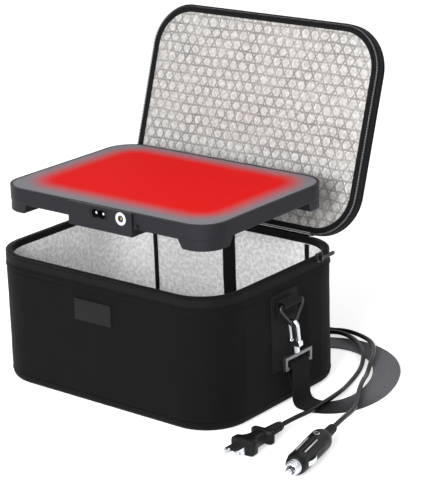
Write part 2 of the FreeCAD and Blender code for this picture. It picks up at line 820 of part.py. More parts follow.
def make_strap_loop():
    """The rectangular loop of the strap, with its headed post up into the hook's barrel."""
    half = "frame_bar / 2"
    frame_x = (f"{RING_X} - {half}", f"{RING_X} + {half}")
    frame_y = ("frame_place - frame_length / 2", "frame_place + frame_length / 2")
    frame_top = f"({FRAME_LOW} + frame_height)"
    outer = box("frame_outer", frame_x, frame_y, (FRAME_LOW, frame_top))
    inner_y = (f"{frame_y[0]} + frame_bar", f"{frame_y[1]} - frame_bar")
    inner = box("frame_inner", frame_x, inner_y, (f"{FRAME_LOW} + frame_bar", f"{frame_top} - frame_bar"))
    frame = cut("frame_open", outer, inner)
    tilt = math.radians(size("hook_tilt"))
    post_y = size("ring_skew") - math.sin(tilt) * size(f"{BASE_LOW} - barrel_length / 2")
    mouth = hook_seat() + math.cos(tilt) * size(f"{BASE_LOW} - barrel_length")
    post_top = mouth + size("barrel_length - barrel_wall") / 2
    foot = Vector(size(RING_X), post_y, size(frame_top))
    post = Part.makeCylinder(size("post_radius"), post_top - size(frame_top), foot)
    head_low = Vector(size(RING_X), post_y, post_top)
    head = Part.makeCylinder(size("post_head"), size("post_head_height"), head_low)
    item = join("strap_loop_right", [frame, shaped("frame_post", post.fuse(head))])
    node(item, "strap_loop_right")
    node(mirror("strap_loop_left", item), "strap_loop_left")


def band(points, half_width, low, thick):
    """Make a flat band of even width along a level middle line."""
    edges, _ = rounded_path(points)
    up = Vector(0, 0, 1)
    sides = ([], [])
    for edge in edges:
        first, last = edge.FirstParameter, edge.LastParameter
        stations = (first, (first + last) / 2, last)
        for side, way in zip(sides, (1, -1)):
            shifted = [edge.valueAt(at) + up.cross(edge.tangentAt(at)) * half_width * way for at in stations]
            straight = isinstance(edge.Curve, Part.Line)
            line = Part.LineSegment(shifted[0], shifted[2]) if straight else Part.Arc(*shifted)
            side.append(line.toShape())
    left, right = sides
    starts = [side[0].valueAt(side[0].FirstParameter) for side in (right, left)]
    ends = [side[-1].valueAt(side[-1].LastParameter) for side in (left, right)]
    start_cap = Part.LineSegment(*starts)
    end_cap = Part.LineSegment(*ends)
    rim = left + [end_cap.toShape()] + right + [start_cap.toShape()]
    face = Part.Face(Part.Wire(Part.__sortEdges__(rim)))
    face.translate(Vector(0, 0, low))
    return face.extrude(Vector(0, 0, thick))


def beside(x, y, z=0):
    """Move a point of a route with the end of the bag: in full beside that end, and less towards the middle."""
    grown = size(SIDE) - ROUTE_REACH
    return Vector(x + grown * max(0, min(1, x / ROUTE_REACH)), y, z)


def strap_drop():
    """The strap's turn round the loop's bar, its drop and its bend on to the surface."""
    thick, half = size("webbing"), size("strap_width") / 2
    x, bar_z = size(RING_X), size(BAR_Z)
    bore = size("frame_bar / 2") * math.sqrt(2) + size("strap_bar_gap")
    middle_y = size("frame_place")
    roll_base = Vector(x, middle_y - half, bar_z)
    roll = Part.makeCylinder(bore + thick, 2 * half, roll_base, Vector(0, 1, 0))
    roll = roll.cut(Part.makeCylinder(bore, 2 * half, roll_base, Vector(0, 1, 0)))
    inner_x = x + bore
    outer_x = inner_x + thick
    floor = size("strap_floor_gap")
    bend = size("strap_bend")
    foot_z = floor + bend + thick / 2
    drop = Part.makeBox(thick, 2 * half, bar_z - foot_z, Vector(inner_x, middle_y - half, foot_z))
    turn_x = inner_x + thick / 2 + bend
    slope = math.sqrt(0.5)
    inner_bend = bend - thick / 2
    outer_bend = bend + thick / 2
    hub = Vector(turn_x, middle_y - half, foot_z)
    way = Vector(-slope, 0, -slope)
    corners = [
        Vector(outer_x, hub.y, foot_z),
        hub + way * inner_bend,
        Vector(turn_x, hub.y, floor + thick),
        Vector(turn_x, hub.y, floor),
        hub + way * outer_bend,
        Vector(inner_x, hub.y, foot_z),
    ]
    edges = [
        Part.Arc(corners[0], corners[1], corners[2]).toShape(),
        Part.LineSegment(corners[2], corners[3]).toShape(),
        Part.Arc(corners[3], corners[4], corners[5]).toShape(),
        Part.LineSegment(corners[5], corners[0]).toShape(),
    ]
    turn = Part.Face(Part.Wire(edges)).extrude(Vector(0, 2 * half, 0))
    return [roll, drop, turn], Vector(turn_x, middle_y, 0)


def make_strap():
    """The shoulder strap from one loop to the other, along the surface and behind the bag."""
    pieces, start = strap_drop()
    right = [start] + [beside(*place_xy) for place_xy in STRAP_ROUTE]
    left = [Vector(-point.x, point.y, 0) for point in reversed(right[:-1])]
    floor, thick = size("strap_floor_gap"), size("webbing")
    lying = band(right + left, size("strap_width") / 2, floor, thick)
    mirrored = [piece.mirror(Vector(), Vector(1, 0, 0)) for piece in pieces]
    node(shaped("shoulder_strap", lying.multiFuse(pieces + mirrored).removeSplitter()), "shoulder_strap")


# Heating plate, built on its feet and then lifted above the bag
PLATE = Outline("plate_length", "plate_width", "plate_corner")
SLAB_TOP = "(plate_feet + plate_slab)"
PLATE_FRONT = "(-plate_width / 2)"
TOP_SEAT = f"({SLAB_TOP} - top_thick)"
COVER_TOP = "(plate_feet + cover_thick)"
CAVITY_LOW = f"({COVER_TOP} + plate_floor)"
BOSS_FRONT = f"({PLATE_FRONT} - boss_proud)"
PAD_TOP = f"({TOP_SEAT} - film_thick)"
PAD_LOW = f"({PAD_TOP} - pad_thick)"
FILM = Outline("film_length", "film_width", "film_corner", "film_back")
COVER = Outline("(plate_length - 2 * cover_inset)", "(plate_width - 2 * cover_inset)", "cover_corner")
FOOT_X = "(plate_length / 2 - foot_inset)"
FOOT_Y = "(plate_width / 2 - foot_inset)"
SCREW_X = "(plate_length / 2 - cover_inset - screw_inset)"
SCREW_Y = "(plate_width / 2 - cover_inset - screw_inset)"
WIRE_Z = f"({CAVITY_LOW} + wire_radius + screw_gap)"
INLET_ENDS = ("inlet_middle - inlet_pitch / 2", "inlet_middle + inlet_pitch / 2")


def lift(item, name):
    """Stand a piece of the plate where the lifted plate is."""
    return node(place(item, "0", "0", f"{FLOOR_TOP} + plate_gap + plate_raise"), name)


def boxed(name, middle, length, y, z):
    """Make a block about a place along the front."""
    return box(name, (f"{middle} - {length} / 2", f"{middle} + {length} / 2"), y, z)


def corners(name, make, place_x, place_y):
    """Make like solids at four corners."""
    made = []
    for along in ("-", ""):
        for across in ("-", ""):
            made.append(make(f"{name}_{len(made)}", f"({along}{place_x})", f"({across}{place_y})"))
    return made


def make_foot(name, x, y):
    """One foot that narrows downward."""
    low, high = size("foot_bottom"), size("foot_top")
    bottom, top = size("foot_pad_thick"), size("plate_feet")
    loops = []
    for width, level in ((low, bottom), (high, top)):
        half = width / 2
        ways = ((-half, -half), (half, -half), (half, half), (-half, half), (-half, -half))
        loops.append(Part.makePolygon([Vector(size(x) + dx, size(y) + dy, level) for dx, dy in ways]))
    return shaped(name, Part.makeLoft(loops, True, True))


def make_housing():
    """The moulded body: slab, feet, block for the inlets, and the recesses for what it holds."""
    slab = pad("housing_slab", [PLATE], "plate_feet", SLAB_TOP)
    round_level(slab, "plate_feet", "plate_edge")
    pocket(slab, [PLATE.inset("plate_wall")], SLAB_TOP, TOP_SEAT)
    pocket(slab, [PLATE.inset("plate_wall + plate_ledge")], TOP_SEAT, CAVITY_LOW)
    pocket(slab, [COVER.inset("-cover_gap")], "plate_feet", COVER_TOP)
    feet = corners("foot", make_foot, FOOT_X, FOOT_Y)
    boss_y = (BOSS_FRONT, f"{BOSS_FRONT} + boss_depth")
    boss = boxed("boss_block", "boss_middle", "boss_length", boss_y, ("boss_low", TOP_SEAT))
    boss_cap_y = (BOSS_FRONT, f"{PLATE_FRONT} + plate_wall")
    boss_cap = boxed("boss_cap", "boss_middle", "boss_length", boss_cap_y, (TOP_SEAT, SLAB_TOP))
    nub_y = (f"{PLATE_FRONT} - nub_radius", f"{PLATE_FRONT} + plate_wall")
    nub = rod("nub", "y", "nub_radius", nub_y, ("nub_place", "nub_high"))
    blank = join("housing_blank", [slab, boss, boss_cap, nub] + feet)
    inlet_y = (f"{BOSS_FRONT} - 1", f"{BOSS_FRONT} + inlet_depth")
    inlet_z = ("inlet_high - inlet_height / 2 - inlet_gap", "inlet_high + inlet_height / 2 + inlet_gap")
    inlet_room = boxed("inlet_room", "inlet_middle", "(inlet_length + 2 * inlet_gap)", inlet_y, inlet_z)
    jack_y = (f"{BOSS_FRONT} - 1", f"{BOSS_FRONT} + jack_depth")
    jack_room = rod("jack_room", "y", "jack_radius + inlet_gap", jack_y, ("jack_middle", "inlet_high"))
    bores = corners("screw_bore", screw_bore, SCREW_X, SCREW_Y)
    way_y = (f"{BOSS_FRONT} + inlet_depth - 1", f"{BOSS_FRONT} + boss_depth + 1")
    ways = [rod("wire_way", "y", "wire_radius + inlet_gap", way_y, (x, WIRE_Z)) for x in INLET_ENDS]
    cuts = join("housing_cuts", [inlet_room, jack_room] + bores + ways)
    lift(cut("plate_housing", blank, cuts), "plate_housing")


def screw_bore(name, x, y):
    """The hole for one screw of the cover."""
    return rod(name, "z", "screw_radius + screw_gap", ("0", f"{CAVITY_LOW} + 1"), (x, y))


def make_plate():
    """The warming surface and what lies under it."""
    top = pad("plate_top", [PLATE.inset("plate_wall")], TOP_SEAT, SLAB_TOP)
    lift(top, "plate_top")
    lift(pad("heater_film", [FILM], PAD_TOP, TOP_SEAT), "heater_film")
    soft = pad("insulation_body", [FILM], PAD_LOW, PAD_TOP)
    across = ("-pad_window / 2", "pad_window / 2")
    window = box("pad_window_box", across, across, (f"{PAD_LOW} - 1", f"{PAD_TOP} + 1"))
    lift(cut("insulation_pad", soft, window), "insulation_pad")
    thermostat_z = (f"{PAD_TOP} - thermostat_height", PAD_TOP)
    thermostat = rod("thermostat_can", "z", "thermostat_radius", thermostat_z, ("0", "0"))
    lift(together("thermostat", [thermostat]), "thermostat")
    fuse_x = ("thermostat_radius / 2", "thermostat_radius / 2 + fuse_length")
    fuse_at = ("thermostat_radius + 2 * fuse_radius", f"{PAD_TOP} - fuse_radius")
    lift(together("thermal_fuse", [rod("fuse_link", "x", "fuse_radius", fuse_x, fuse_at)]), "thermal_fuse")
    cover = pad("cover_plate", [COVER], "plate_feet", COVER_TOP)
    bores = join("cover_bores", corners("cover_bore", screw_bore, SCREW_X, SCREW_Y))
    lift(cut("bottom_cover", cover, bores), "bottom_cover")
    lift(together("cover_screws", corners("screw", make_screw, SCREW_X, SCREW_Y)), "cover_screws")
    lift(together("foot_pads", corners("foot_pad", make_foot_pad, FOOT_X, FOOT_Y)), "foot_pads")


def make_screw(name, x, y):
    """One screw: a flat head under the cover and a shank into the housing."""
    head = rod(f"{name}_head", "z", "screw_head", ("plate_feet - screw_head_height", "plate_feet"), (x, y))
    shank = rod(f"{name}_shank", "z", "screw_radius", ("plate_feet - screw_gap", CAVITY_LOW), (x, y))
    return join(name, [head, shank])


def make_foot_pad(name, x, y):
    """One round pad under a foot."""
    return rod(name, "z", "foot_pad_radius", ("0", "foot_pad_thick"), (x, y))


def make_inlets():
    """The two-pin inlet, its pins, the round jack and the wires behind them."""
    inlet_y = (BOSS_FRONT, f"{BOSS_FRONT} + inlet_depth")
    inlet_z = ("inlet_high - inlet_height / 2", "inlet_high + inlet_height / 2")
    block = boxed("inlet_block", "inlet_middle", "inlet_length", inlet_y, inlet_z)
    hole_y = (f"{BOSS_FRONT} - 1", f"{BOSS_FRONT} + inlet_hole")
    rounds = [rod("inlet_round_hole", "y", "inlet_round", hole_y, (x, "inlet_high")) for x in INLET_ENDS]
    waist_z = ("inlet_high - inlet_waist / 2", "inlet_high + inlet_waist / 2")
    waist = boxed("inlet_waist_box", "inlet_middle", "inlet_pitch", hole_y, waist_z)
    lift(cut("mains_inlet", block, join("inlet_mouth", rounds + [waist])), "mains_inlet")
    pin_y = (f"{BOSS_FRONT} + inlet_hole - pin_length", f"{BOSS_FRONT} + inlet_hole")
    pins = [rod("inlet_pin", "y", "pin_radius", pin_y, (x, "inlet_high")) for x in INLET_ENDS]
    lift(together("inlet_pins", pins), "inlet_pins")
    jack_at = ("jack_middle", "inlet_high")
    sleeve = rod("jack_sleeve", "y", "jack_radius", (BOSS_FRONT, f"{BOSS_FRONT} + jack_depth"), jack_at)
    ring = rod("jack_ring_disc", "y", "jack_ring", (f"{BOSS_FRONT} - jack_ring_thick", BOSS_FRONT), jack_at)
    jack_y = (f"{BOSS_FRONT} - 1", f"{BOSS_FRONT} + jack_hole")
    hole = rod("jack_bore_room", "y", "jack_bore", jack_y, jack_at)
    lift(cut("dc_jack", join("jack_blank", [sleeve, ring]), hole), "dc_jack")
    centre = rod("jack_centre", "y", "jack_pin", (BOSS_FRONT, f"{BOSS_FRONT} + jack_hole"), jack_at)
    lift(together("dc_jack_pin", [centre]), "dc_jack_pin")
    wire_y = (f"{BOSS_FRONT} + inlet_depth", "-pad_window / 2 + wire_radius")
    wires = [rod("inlet_wire", "y", "wire_radius", wire_y, (x, WIRE_Z)) for x in INLET_ENDS]
    lift(together("inner_wires", wires), "inner_wires")


# Leads
RESTING = Vector(0, 0, 1)


def aim(item, name, start, heading):
    """Stand a piece that was built along Z so that it leaves a point along a heading."""
    turn = Rotation(RESTING.cross(heading), RESTING, heading, "ZYX")
    item.Placement = Placement(start, turn)
    return node(item, name)


def coil_path(middle, side, heading, tail):
    """Wind a coil in and out again, from its exit at the outer turn to its end on the top layer."""
    radius = size("coil_outer")
    pitch = size("cord_thick + coil_gap")
    lead = size("cord_thick")
    start = middle + side * (radius + pitch / 4) + RESTING * size("cord_thick / 2")
    exit_point = start - heading * lead
    edges = [Part.LineSegment(exit_point, start).toShape()]
    way, onward, point = side, heading, start
    for number in range(HALF_TURNS_IN + 1 + HALF_TURNS_OUT):
        bend = radius - pitch / 2 * number
        if number > HALF_TURNS_IN:
            bend = radius - pitch / 2 * (2 * HALF_TURNS_IN - number)
        hub = point - way * bend
        if number == HALF_TURNS_IN:
            grown = math.sqrt(bend**2 + pitch**2 / 4)
            high = hub + onward * grown + RESTING * (pitch / 2)
            end = hub - way * bend + RESTING * pitch
            edges.append(Part.Arc(point, arc_leaving(point, onward, high), high).toShape())
            edges.append(Part.Arc(high, arc_leaving(end, onward, high), end).toShape())
        else:
            end = hub - way * bend
            edges.append(Part.Arc(point, hub + onward * bend, end).toShape())
        point, way, onward = end, -way, -onward
    end = point + onward * tail
    edges.append(Part.LineSegment(point, end).toShape())
    return edges, exit_point, end, onward


def self_gap(name, edges):
    """Measure the least gap of a wound tube to itself on points along it, and print it."""
    thick = size("cord_thick")
    path = Part.Wire(edges)
    count = int(path.Length / 2)
    points = path.discretize(Number=count)
    skip = int(4 * thick / 2)
    least = min(
        (points[one] - points[other]).Length
        for one in range(count)
        for other in range(one + skip, count)
    )
    print(f"{name}: length {path.Length:.1f}, least gap to itself {least - thick:.2f}")


def make_lead(name, middle, side, route, plug_start, plug_heading):
    """The coil and the free stretch of one lead; gives where the coil ends and which way it points."""
    heading = Vector(-1, 0, 0)
    edges, exit_point, end, onward = coil_path(middle, side, heading, size("coil_tail"))
    self_gap(f"{name}_coil", edges)
    radius = size("cord_thick / 2")
    node(shaped(f"{name}_coil", tube(f"{name}_coil", edges, radius)), f"{name}_coil")
    points = [exit_point, exit_point - heading * size("coil_run_out")]
    points += [beside(*place_xyz) for place_xyz in route]
    points += [plug_start - plug_heading * size("plug_run_in"), plug_start]
    free, radii = rounded_path(points)
    print(f"{name} bend radii:", " ".join(f"{bend:.0f}" for bend in radii))
    node(shaped(name, tube(name, free, radius)), name)
    return end, onward


def make_mains_lead():
    """The mains lead: flat two-blade plug, cord, coil and the connector for the plate."""
    start = beside(size("ac_plug_x"), size("ac_plug_y"), size("plug_height / 2"))
    heading = Vector(0, -1, 0)
    widths = ("plug_sleeve_thin", "plug_sleeve_thick")
    sleeve = cone("plug_sleeve_cone", "z", widths, ("0", "plug_sleeve"), ("0", "0"))
    body_z = ("plug_sleeve", "plug_sleeve + plug_length")
    half_x, half_y = "plug_width / 2", "plug_height / 2"
    block = box("plug_block", (f"-{half_x}", half_x), (f"-{half_y}", half_y), body_z)
    doc.recompute()
    rounded = doc.addObject("Part::Fillet", "plug_rounded")
    rounded.Base = block
    rounded.Edges = [(number, size("plug_round"), size("plug_round")) for number in long_edges(block.Shape)]
    aim(join("ac_plug_body", [sleeve, rounded]), "ac_plug_body", start, heading)
    blade_z = ("plug_sleeve + plug_length", "plug_sleeve + plug_length + blade_length")
    blade_x = ("blade_pitch / 2 - blade_thick / 2", "blade_pitch / 2 + blade_thick / 2")
    blade = box("blade", blade_x, ("-blade_height / 2", "blade_height / 2"), blade_z)
    aim(together("ac_plug_blades", [blade, mirror("blade_other", blade)]), "ac_plug_blades", start, heading)
    middle = Vector(size("ac_coil_x"), size("ac_coil_y"), 0)
    end, onward = make_lead("ac_cord", middle, Vector(0, -1, 0), AC_ROUTE, start, heading)
    neck = rod("connector_neck", "z", "connector_sleeve_radius", ("0", "connector_sleeve"), ("0", "0"))
    body_z = ("connector_sleeve", "connector_sleeve + connector_length")
    half = "connector_height / 2"
    apart = "(connector_width / 2 - connector_height / 2)"
    rounds = [rod("connector_round", "z", half, body_z, (f"{sign}{apart}", "0")) for sign in ("-", "")]
    web = box("connector_web", (f"-{apart}", apart), (f"-{half}", half), body_z)
    blank = join("connector_blank", [neck, web] + rounds)
    socket_z = (f"{body_z[1]} - connector_socket", f"{body_z[1]} + 1")
    sockets = [
        rod("connector_socket_bore", "z", "pin_radius + inlet_gap", socket_z, (f"{sign}inlet_pitch / 2", "0"))
        for sign in ("-", "")
    ]
    aim(cut("ac_connector", blank, join("connector_sockets", sockets)), "ac_connector", end, onward)


def long_edges(shape):
    """Number the edges of a block that run along Z."""
    rises = [abs(edge.tangentAt(edge.FirstParameter).z) for edge in shape.Edges]
    return [number for number, rise in enumerate(rises, 1) if rise > 0.9]


def make_car_lead():
    """The car lead: round plug with its nose, tip, side contacts and fuse, cord, coil and barrel."""
    turn = math.radians(size("car_plug_turn"))
    heading = Vector(math.sin(turn), -math.cos(turn), 0)
    start = beside(size("car_plug_x"), size("car_plug_y"), size("car_body_radius"))
    shoulder_z = "(car_sleeve + car_shoulder)"
    body_top = f"({shoulder_z} + car_body_length)"
    nose_top = f"({body_top} + car_nose_length)"
    centre = ("0", "0")
    widths = ("plug_sleeve_thin", "plug_sleeve_thick")
    sleeve = cone("car_sleeve_cone", "z", widths, ("0", "car_sleeve"), centre)
    widths = ("plug_sleeve_thick", "car_body_radius")
    shoulder = cone("car_shoulder_cone", "z", widths, ("car_sleeve", shoulder_z), centre)
    barrel = rod("car_barrel", "z", "car_body_radius", (shoulder_z, body_top), centre)
    bore = rod("car_bore_room", "z", "car_bore", (f"{body_top} - car_bore_depth", f"{body_top} + 1"), centre)
    body = cut("car_plug_body", join("car_body_blank", [sleeve, shoulder, barrel]), bore)
    aim(body, "car_plug_body", start, heading)
    widths = ("car_nose_radius", "car_nose_end_radius")
    nose_cone = cone("car_nose_cone", "z", widths, (body_top, nose_top), centre)
    nose_bore = rod("car_nose_bore", "z", "car_bore", (f"{body_top} - 1", f"{nose_top} + 1"), centre)
    aim(cut("car_plug_nose", nose_cone, nose_bore), "car_plug_nose", start, heading)
    fuse_low = f"({body_top} - car_bore_depth)"
    fuse_top = f"({fuse_low} + car_fuse_length)"
    fuse = rod("car_fuse_tube", "z", "car_fuse_radius", (fuse_low, fuse_top), centre)
    aim(together("car_fuse", [fuse]), "car_fuse", start, heading)
    tip_low = f"{fuse_top} + car_tip_travel + car_tip_gap"
    tip_top = f"({nose_top} + car_tip_out - car_tip_radius)"
    tip_rod = rod("car_tip_rod", "z", "car_tip_radius", (tip_low, tip_top), centre)
    tip_ball = doc.addObject("Part::Sphere", "car_tip_ball")
    bind(tip_ball, Radius="car_tip_radius", Placement__Base__z=tip_top)
    aim(join("car_plug_tip", [tip_rod, tip_ball]), "car_plug_tip", start, heading)
    contact_z = (f"{body_top} - contact_length", body_top)
    contact_x = ("car_body_radius", "car_body_radius + contact_thick")
    contact = box("car_contact", contact_x, ("-contact_width / 2", "contact_width / 2"), contact_z)
    pair = together("car_side_contacts", [contact, mirror("car_contact_other", contact)])
    aim(pair, "car_side_contacts", start, heading)
    middle = Vector(size("car_coil_x"), size("car_coil_y"), 0)
    end, onward = make_lead("car_cord", middle, Vector(0, 1, 0), CAR_ROUTE, start, heading)
    dc_body_top = "(dc_sleeve + dc_body_length)"
    dc_top = f"({dc_body_top} + dc_barrel_length)"
    neck = rod("dc_neck", "z", "connector_sleeve_radius", ("0", "dc_sleeve"), centre)
    grip = rod("dc_grip", "z", "dc_body_radius", ("dc_sleeve", dc_body_top), centre)
    point = rod("dc_point", "z", "dc_barrel_radius", (dc_body_top, dc_top), centre)
    hole = rod("dc_hole", "z", "dc_barrel_bore", (dc_body_top, f"{dc_top} + 1"), centre)
    aim(cut("dc_connector", join("dc_blank", [neck, grip, point]), hole), "dc_connector", end, onward)


def write_nodes():
    """Check every object and every piece, then write each piece to its file."""
    doc.recompute()
    failed = [item.Name for item in doc.Objects if "Invalid" in item.State or "Error" in item.State]
    for item in nodes:
        shape = item.Shape
        if shape.isNull() or not shape.isValid() or not shape.Solids:
            failed.append(item.Label)
    if failed:
        raise RuntimeError("failed: " + ", ".join(failed))
    os.makedirs("parts", exist_ok=True)
    for item in nodes:
        item.Shape.exportStep(f"parts/{item.Label}.step")
    print(len(nodes), "pieces")


make_base()
make_walls()
make_rim()
make_bag_zip()
make_tapes()
make_patches()
make_lid()
make_sliders()
make_ring_loop()
make_triangle_ring()
make_hook()
make_gate()
make_strap_loop()
make_strap()
make_housing()
make_plate()
make_inlets()
make_mains_lead()
make_car_lead()
write_nodes()
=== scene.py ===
"""Looks of a soft insulated lunch bag with its lifted heating plate, its strap and its two leads.

Every length in this file is in metres unless a name says otherwise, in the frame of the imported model:
X along the front of the bag, Y from front to back, Z up.
"""

import logging
import math
from collections.abc import Callable, Iterable, Sequence
from dataclasses import dataclass
from enum import Enum

import bmesh
import bpy
from mathutils import Matrix, Vector, noise


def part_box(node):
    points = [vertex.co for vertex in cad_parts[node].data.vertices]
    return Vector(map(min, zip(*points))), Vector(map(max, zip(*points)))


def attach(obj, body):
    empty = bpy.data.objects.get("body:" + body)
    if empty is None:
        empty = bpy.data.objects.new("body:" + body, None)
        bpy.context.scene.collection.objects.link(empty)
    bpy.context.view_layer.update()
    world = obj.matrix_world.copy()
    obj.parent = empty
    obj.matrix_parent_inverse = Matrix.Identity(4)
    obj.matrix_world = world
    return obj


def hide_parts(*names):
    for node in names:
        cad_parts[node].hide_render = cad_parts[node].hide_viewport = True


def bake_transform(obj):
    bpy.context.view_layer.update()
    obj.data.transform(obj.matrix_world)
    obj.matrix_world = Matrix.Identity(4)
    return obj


LOG = logging.getLogger("lunch_bag")
MM = 0.001

Offset = Callable[[Vector, Vector], float]


class Side(Enum):
    """The two ends of the bag, as the sign of X."""

    RIGHT = 1
    LEFT = -1

    @property
    def word(self) -> str:
        """The word that piece names end in."""
        return self.name.lower()


# Node materials
def linear(code: str, alpha: float = 1.0) -> tuple[float, float, float, float]:
    """Turn a hex colour of a picture into linear values.

    Args:
        code: The colour as six hex digits.
        alpha: The last value.

    Returns:
        Red, green, blue and alpha.
    """
    values = []
    for start in (0, 2, 4):
        part = int(code[start : start + 2], 16) / 255
        values.append(part / 12.92 if part <= 0.04045 else ((part + 0.055) / 1.055) ** 2.4)
    return (values[0], values[1], values[2], alpha)


def add(tree: bpy.types.NodeTree, kind: str, inputs: dict | None = None, **settings: object) -> bpy.types.Node:
    """Add a node, set its settings and link or set its inputs.

    Args:
        tree: The node tree.
        kind: The node's type.
        inputs: Values or output sockets by input name or number.
        settings: Attributes of the node.

    Returns:
        The node.
    """
    item = tree.nodes.new(kind)
    for name, value in settings.items():
        setattr(item, name, value)
    for name, value in (inputs or {}).items():
        if isinstance(value, bpy.types.NodeSocket):
            tree.links.new(value, item.inputs[name])
        else:
            item.inputs[name].default_value = value
    return item


class Shading:
    """One material under construction: a Principled shader and helpers for its inputs."""

    def __init__(self, name: str) -> None:
        self.material = bpy.data.materials.new(name)
        self.material.use_nodes = True
        self.tree = self.material.node_tree
        self.shader = self.tree.nodes["Principled BSDF"]
        self.heights: list[tuple[bpy.types.NodeSocket, float]] = []

    def set(self, **values: object) -> None:
        """Set or link inputs of the shader; underscores in a name stand for spaces."""
        for name, value in values.items():
            socket = self.shader.inputs[name.replace("_", " ")]
            if isinstance(value, bpy.types.NodeSocket):
                self.tree.links.new(value, socket)
            else:
                socket.default_value = value

    def where(self, kind: str) -> bpy.types.NodeSocket:
        """Give the Object or UV coordinates."""
        return add(self.tree, "ShaderNodeTexCoord").outputs[kind]

    def noise(self, where: bpy.types.NodeSocket, scale: float, detail: float = 3.0) -> bpy.types.NodeSocket:
        """Give a noise value at a scale."""
        inputs = {"Vector": where, "Scale": scale, "Detail": detail}
        return add(self.tree, "ShaderNodeTexNoise", inputs).outputs["Fac"]

    def wave(self, where: bpy.types.NodeSocket, pitch: float, direction: str) -> bpy.types.NodeSocket:
        """Give sine bands of a pitch in metres along one axis."""
        inputs = {"Vector": where, "Scale": math.tau / 20 / pitch}
        return add(self.tree, "ShaderNodeTexWave", inputs, bands_direction=direction).outputs["Fac"]

    def math(self, operation: str, first: object, second: object = 0.0) -> bpy.types.NodeSocket:
        """Give the result of a math node."""
        return add(self.tree, "ShaderNodeMath", {0: first, 1: second}, operation=operation).outputs[0]

    def spread(self, value: bpy.types.NodeSocket, low: float, high: float) -> bpy.types.NodeSocket:
        """Stretch a value of 0 to 1 over another range."""
        return add(self.tree, "ShaderNodeMapRange", {"Value": value, "To Min": low, "To Max": high}).outputs[0]

    def ease(self, value: object, low: float, high: float, first: float, last: float) -> bpy.types.NodeSocket:
        """Run smoothly from one value to another between two limits of a value."""
        inputs = {"Value": value, "From Min": low, "From Max": high, "To Min": first, "To Max": last}
        return add(self.tree, "ShaderNodeMapRange", inputs, interpolation_type="SMOOTHSTEP").outputs[0]

    def blend(self, share: object, first: object, second: object) -> bpy.types.NodeSocket:
        """Mix two colours."""
        inputs = {"Factor": share, 6: first, 7: second}
        return add(self.tree, "ShaderNodeMix", inputs, data_type="RGBA").outputs[2]

    def raise_by(self, height: bpy.types.NodeSocket, depth: float) -> None:
        """Keep a height for the bump, in metres from its low to its high."""
        self.heights.append((height, depth))

    def finish(self) -> bpy.types.Material:
        """Chain the bumps and give the material."""
        normal = None
        for height, depth in self.heights:
            inputs = {"Height": height, "Distance": depth, "Strength": 1.0}
            if normal is not None:
                inputs["Normal"] = normal
            normal = add(self.tree, "ShaderNodeBump", inputs).outputs[0]
        if normal is not None:
            self.set(Normal=normal)
        return self.material


@dataclass(frozen=True)
class Cloth:
    """Woven cloth on its own UV, which is in metres."""

    name: str
    colour: str
    light: str
    pitch: float = 0.9 * MM
    depth: float = 0.1 * MM
    roughness: float = 0.78
    sheen: float = 0.03

    def make(self) -> bpy.types.Material:
        """Build the material."""
        shading = Shading(self.name)
        where = shading.where("UV")
        weave = shading.math("MULTIPLY", shading.wave(where, self.pitch, "X"), shading.wave(where, self.pitch, "Y"))
        patch = shading.noise(where, 40.0, 4.0)
        shading.raise_by(shading.noise(where, 900.0, 2.0), self.depth * 0.6)
        shading.raise_by(weave, self.depth)
        share = shading.math("MULTIPLY", shading.math("ADD", weave, patch), 0.5)
        shading.set(
            Base_Color=shading.blend(share, linear(self.colour), linear(self.light)),
            Roughness=shading.spread(patch, self.roughness - 0.06, self.roughness + 0.08),
            Sheen_Weight=self.sheen,
            Sheen_Roughness=0.45,
            Specular_IOR_Level=0.08,
        )
        return shading.finish()


@dataclass(frozen=True)
class Webbing:
    """Ribbed strap webbing, with painted light: painted a lit grey along one stretch of its length."""

    name: str
    colour: str
    light: str
    # The second pair of colours is painted light, a lit grey copy of the strap's own colours, faded in between the two
    # lengths below.
    wear_and_painted_light: str
    painted_lit_pale: str
    rib: float = 1.7 * MM
    painted_light_from: float = 10.0
    painted_light_to: float = 11.0

    def make(self) -> bpy.types.Material:
        """Build the material."""
        shading = Shading(self.name)
        where = shading.where("UV")
        weave = shading.math("MULTIPLY", shading.wave(where, self.rib, "X"), shading.wave(where, self.rib * 0.55, "Y"))
        shading.raise_by(shading.noise(where, 700.0, 2.0), 0.06 * MM)
        shading.raise_by(weave, 0.22 * MM)
        # Painted light: past a stretch of its length the strap runs from its own dark colours into the lit grey copy.
        run = add(shading.tree, "ShaderNodeSeparateXYZ", {0: where}).outputs[1]
        painted_light_share = shading.ease(run, self.painted_light_from, self.painted_light_to, 0.0, 1.0)
        fresh = shading.blend(weave, linear(self.colour), linear(self.light))
        painted_lit = shading.blend(weave, linear(self.wear_and_painted_light), linear(self.painted_lit_pale))
        shading.set(
            Base_Color=shading.blend(painted_light_share, fresh, painted_lit), Roughness=0.72, Sheen_Weight=0.02, Specular_IOR_Level=0.1
        )
        return shading.finish()


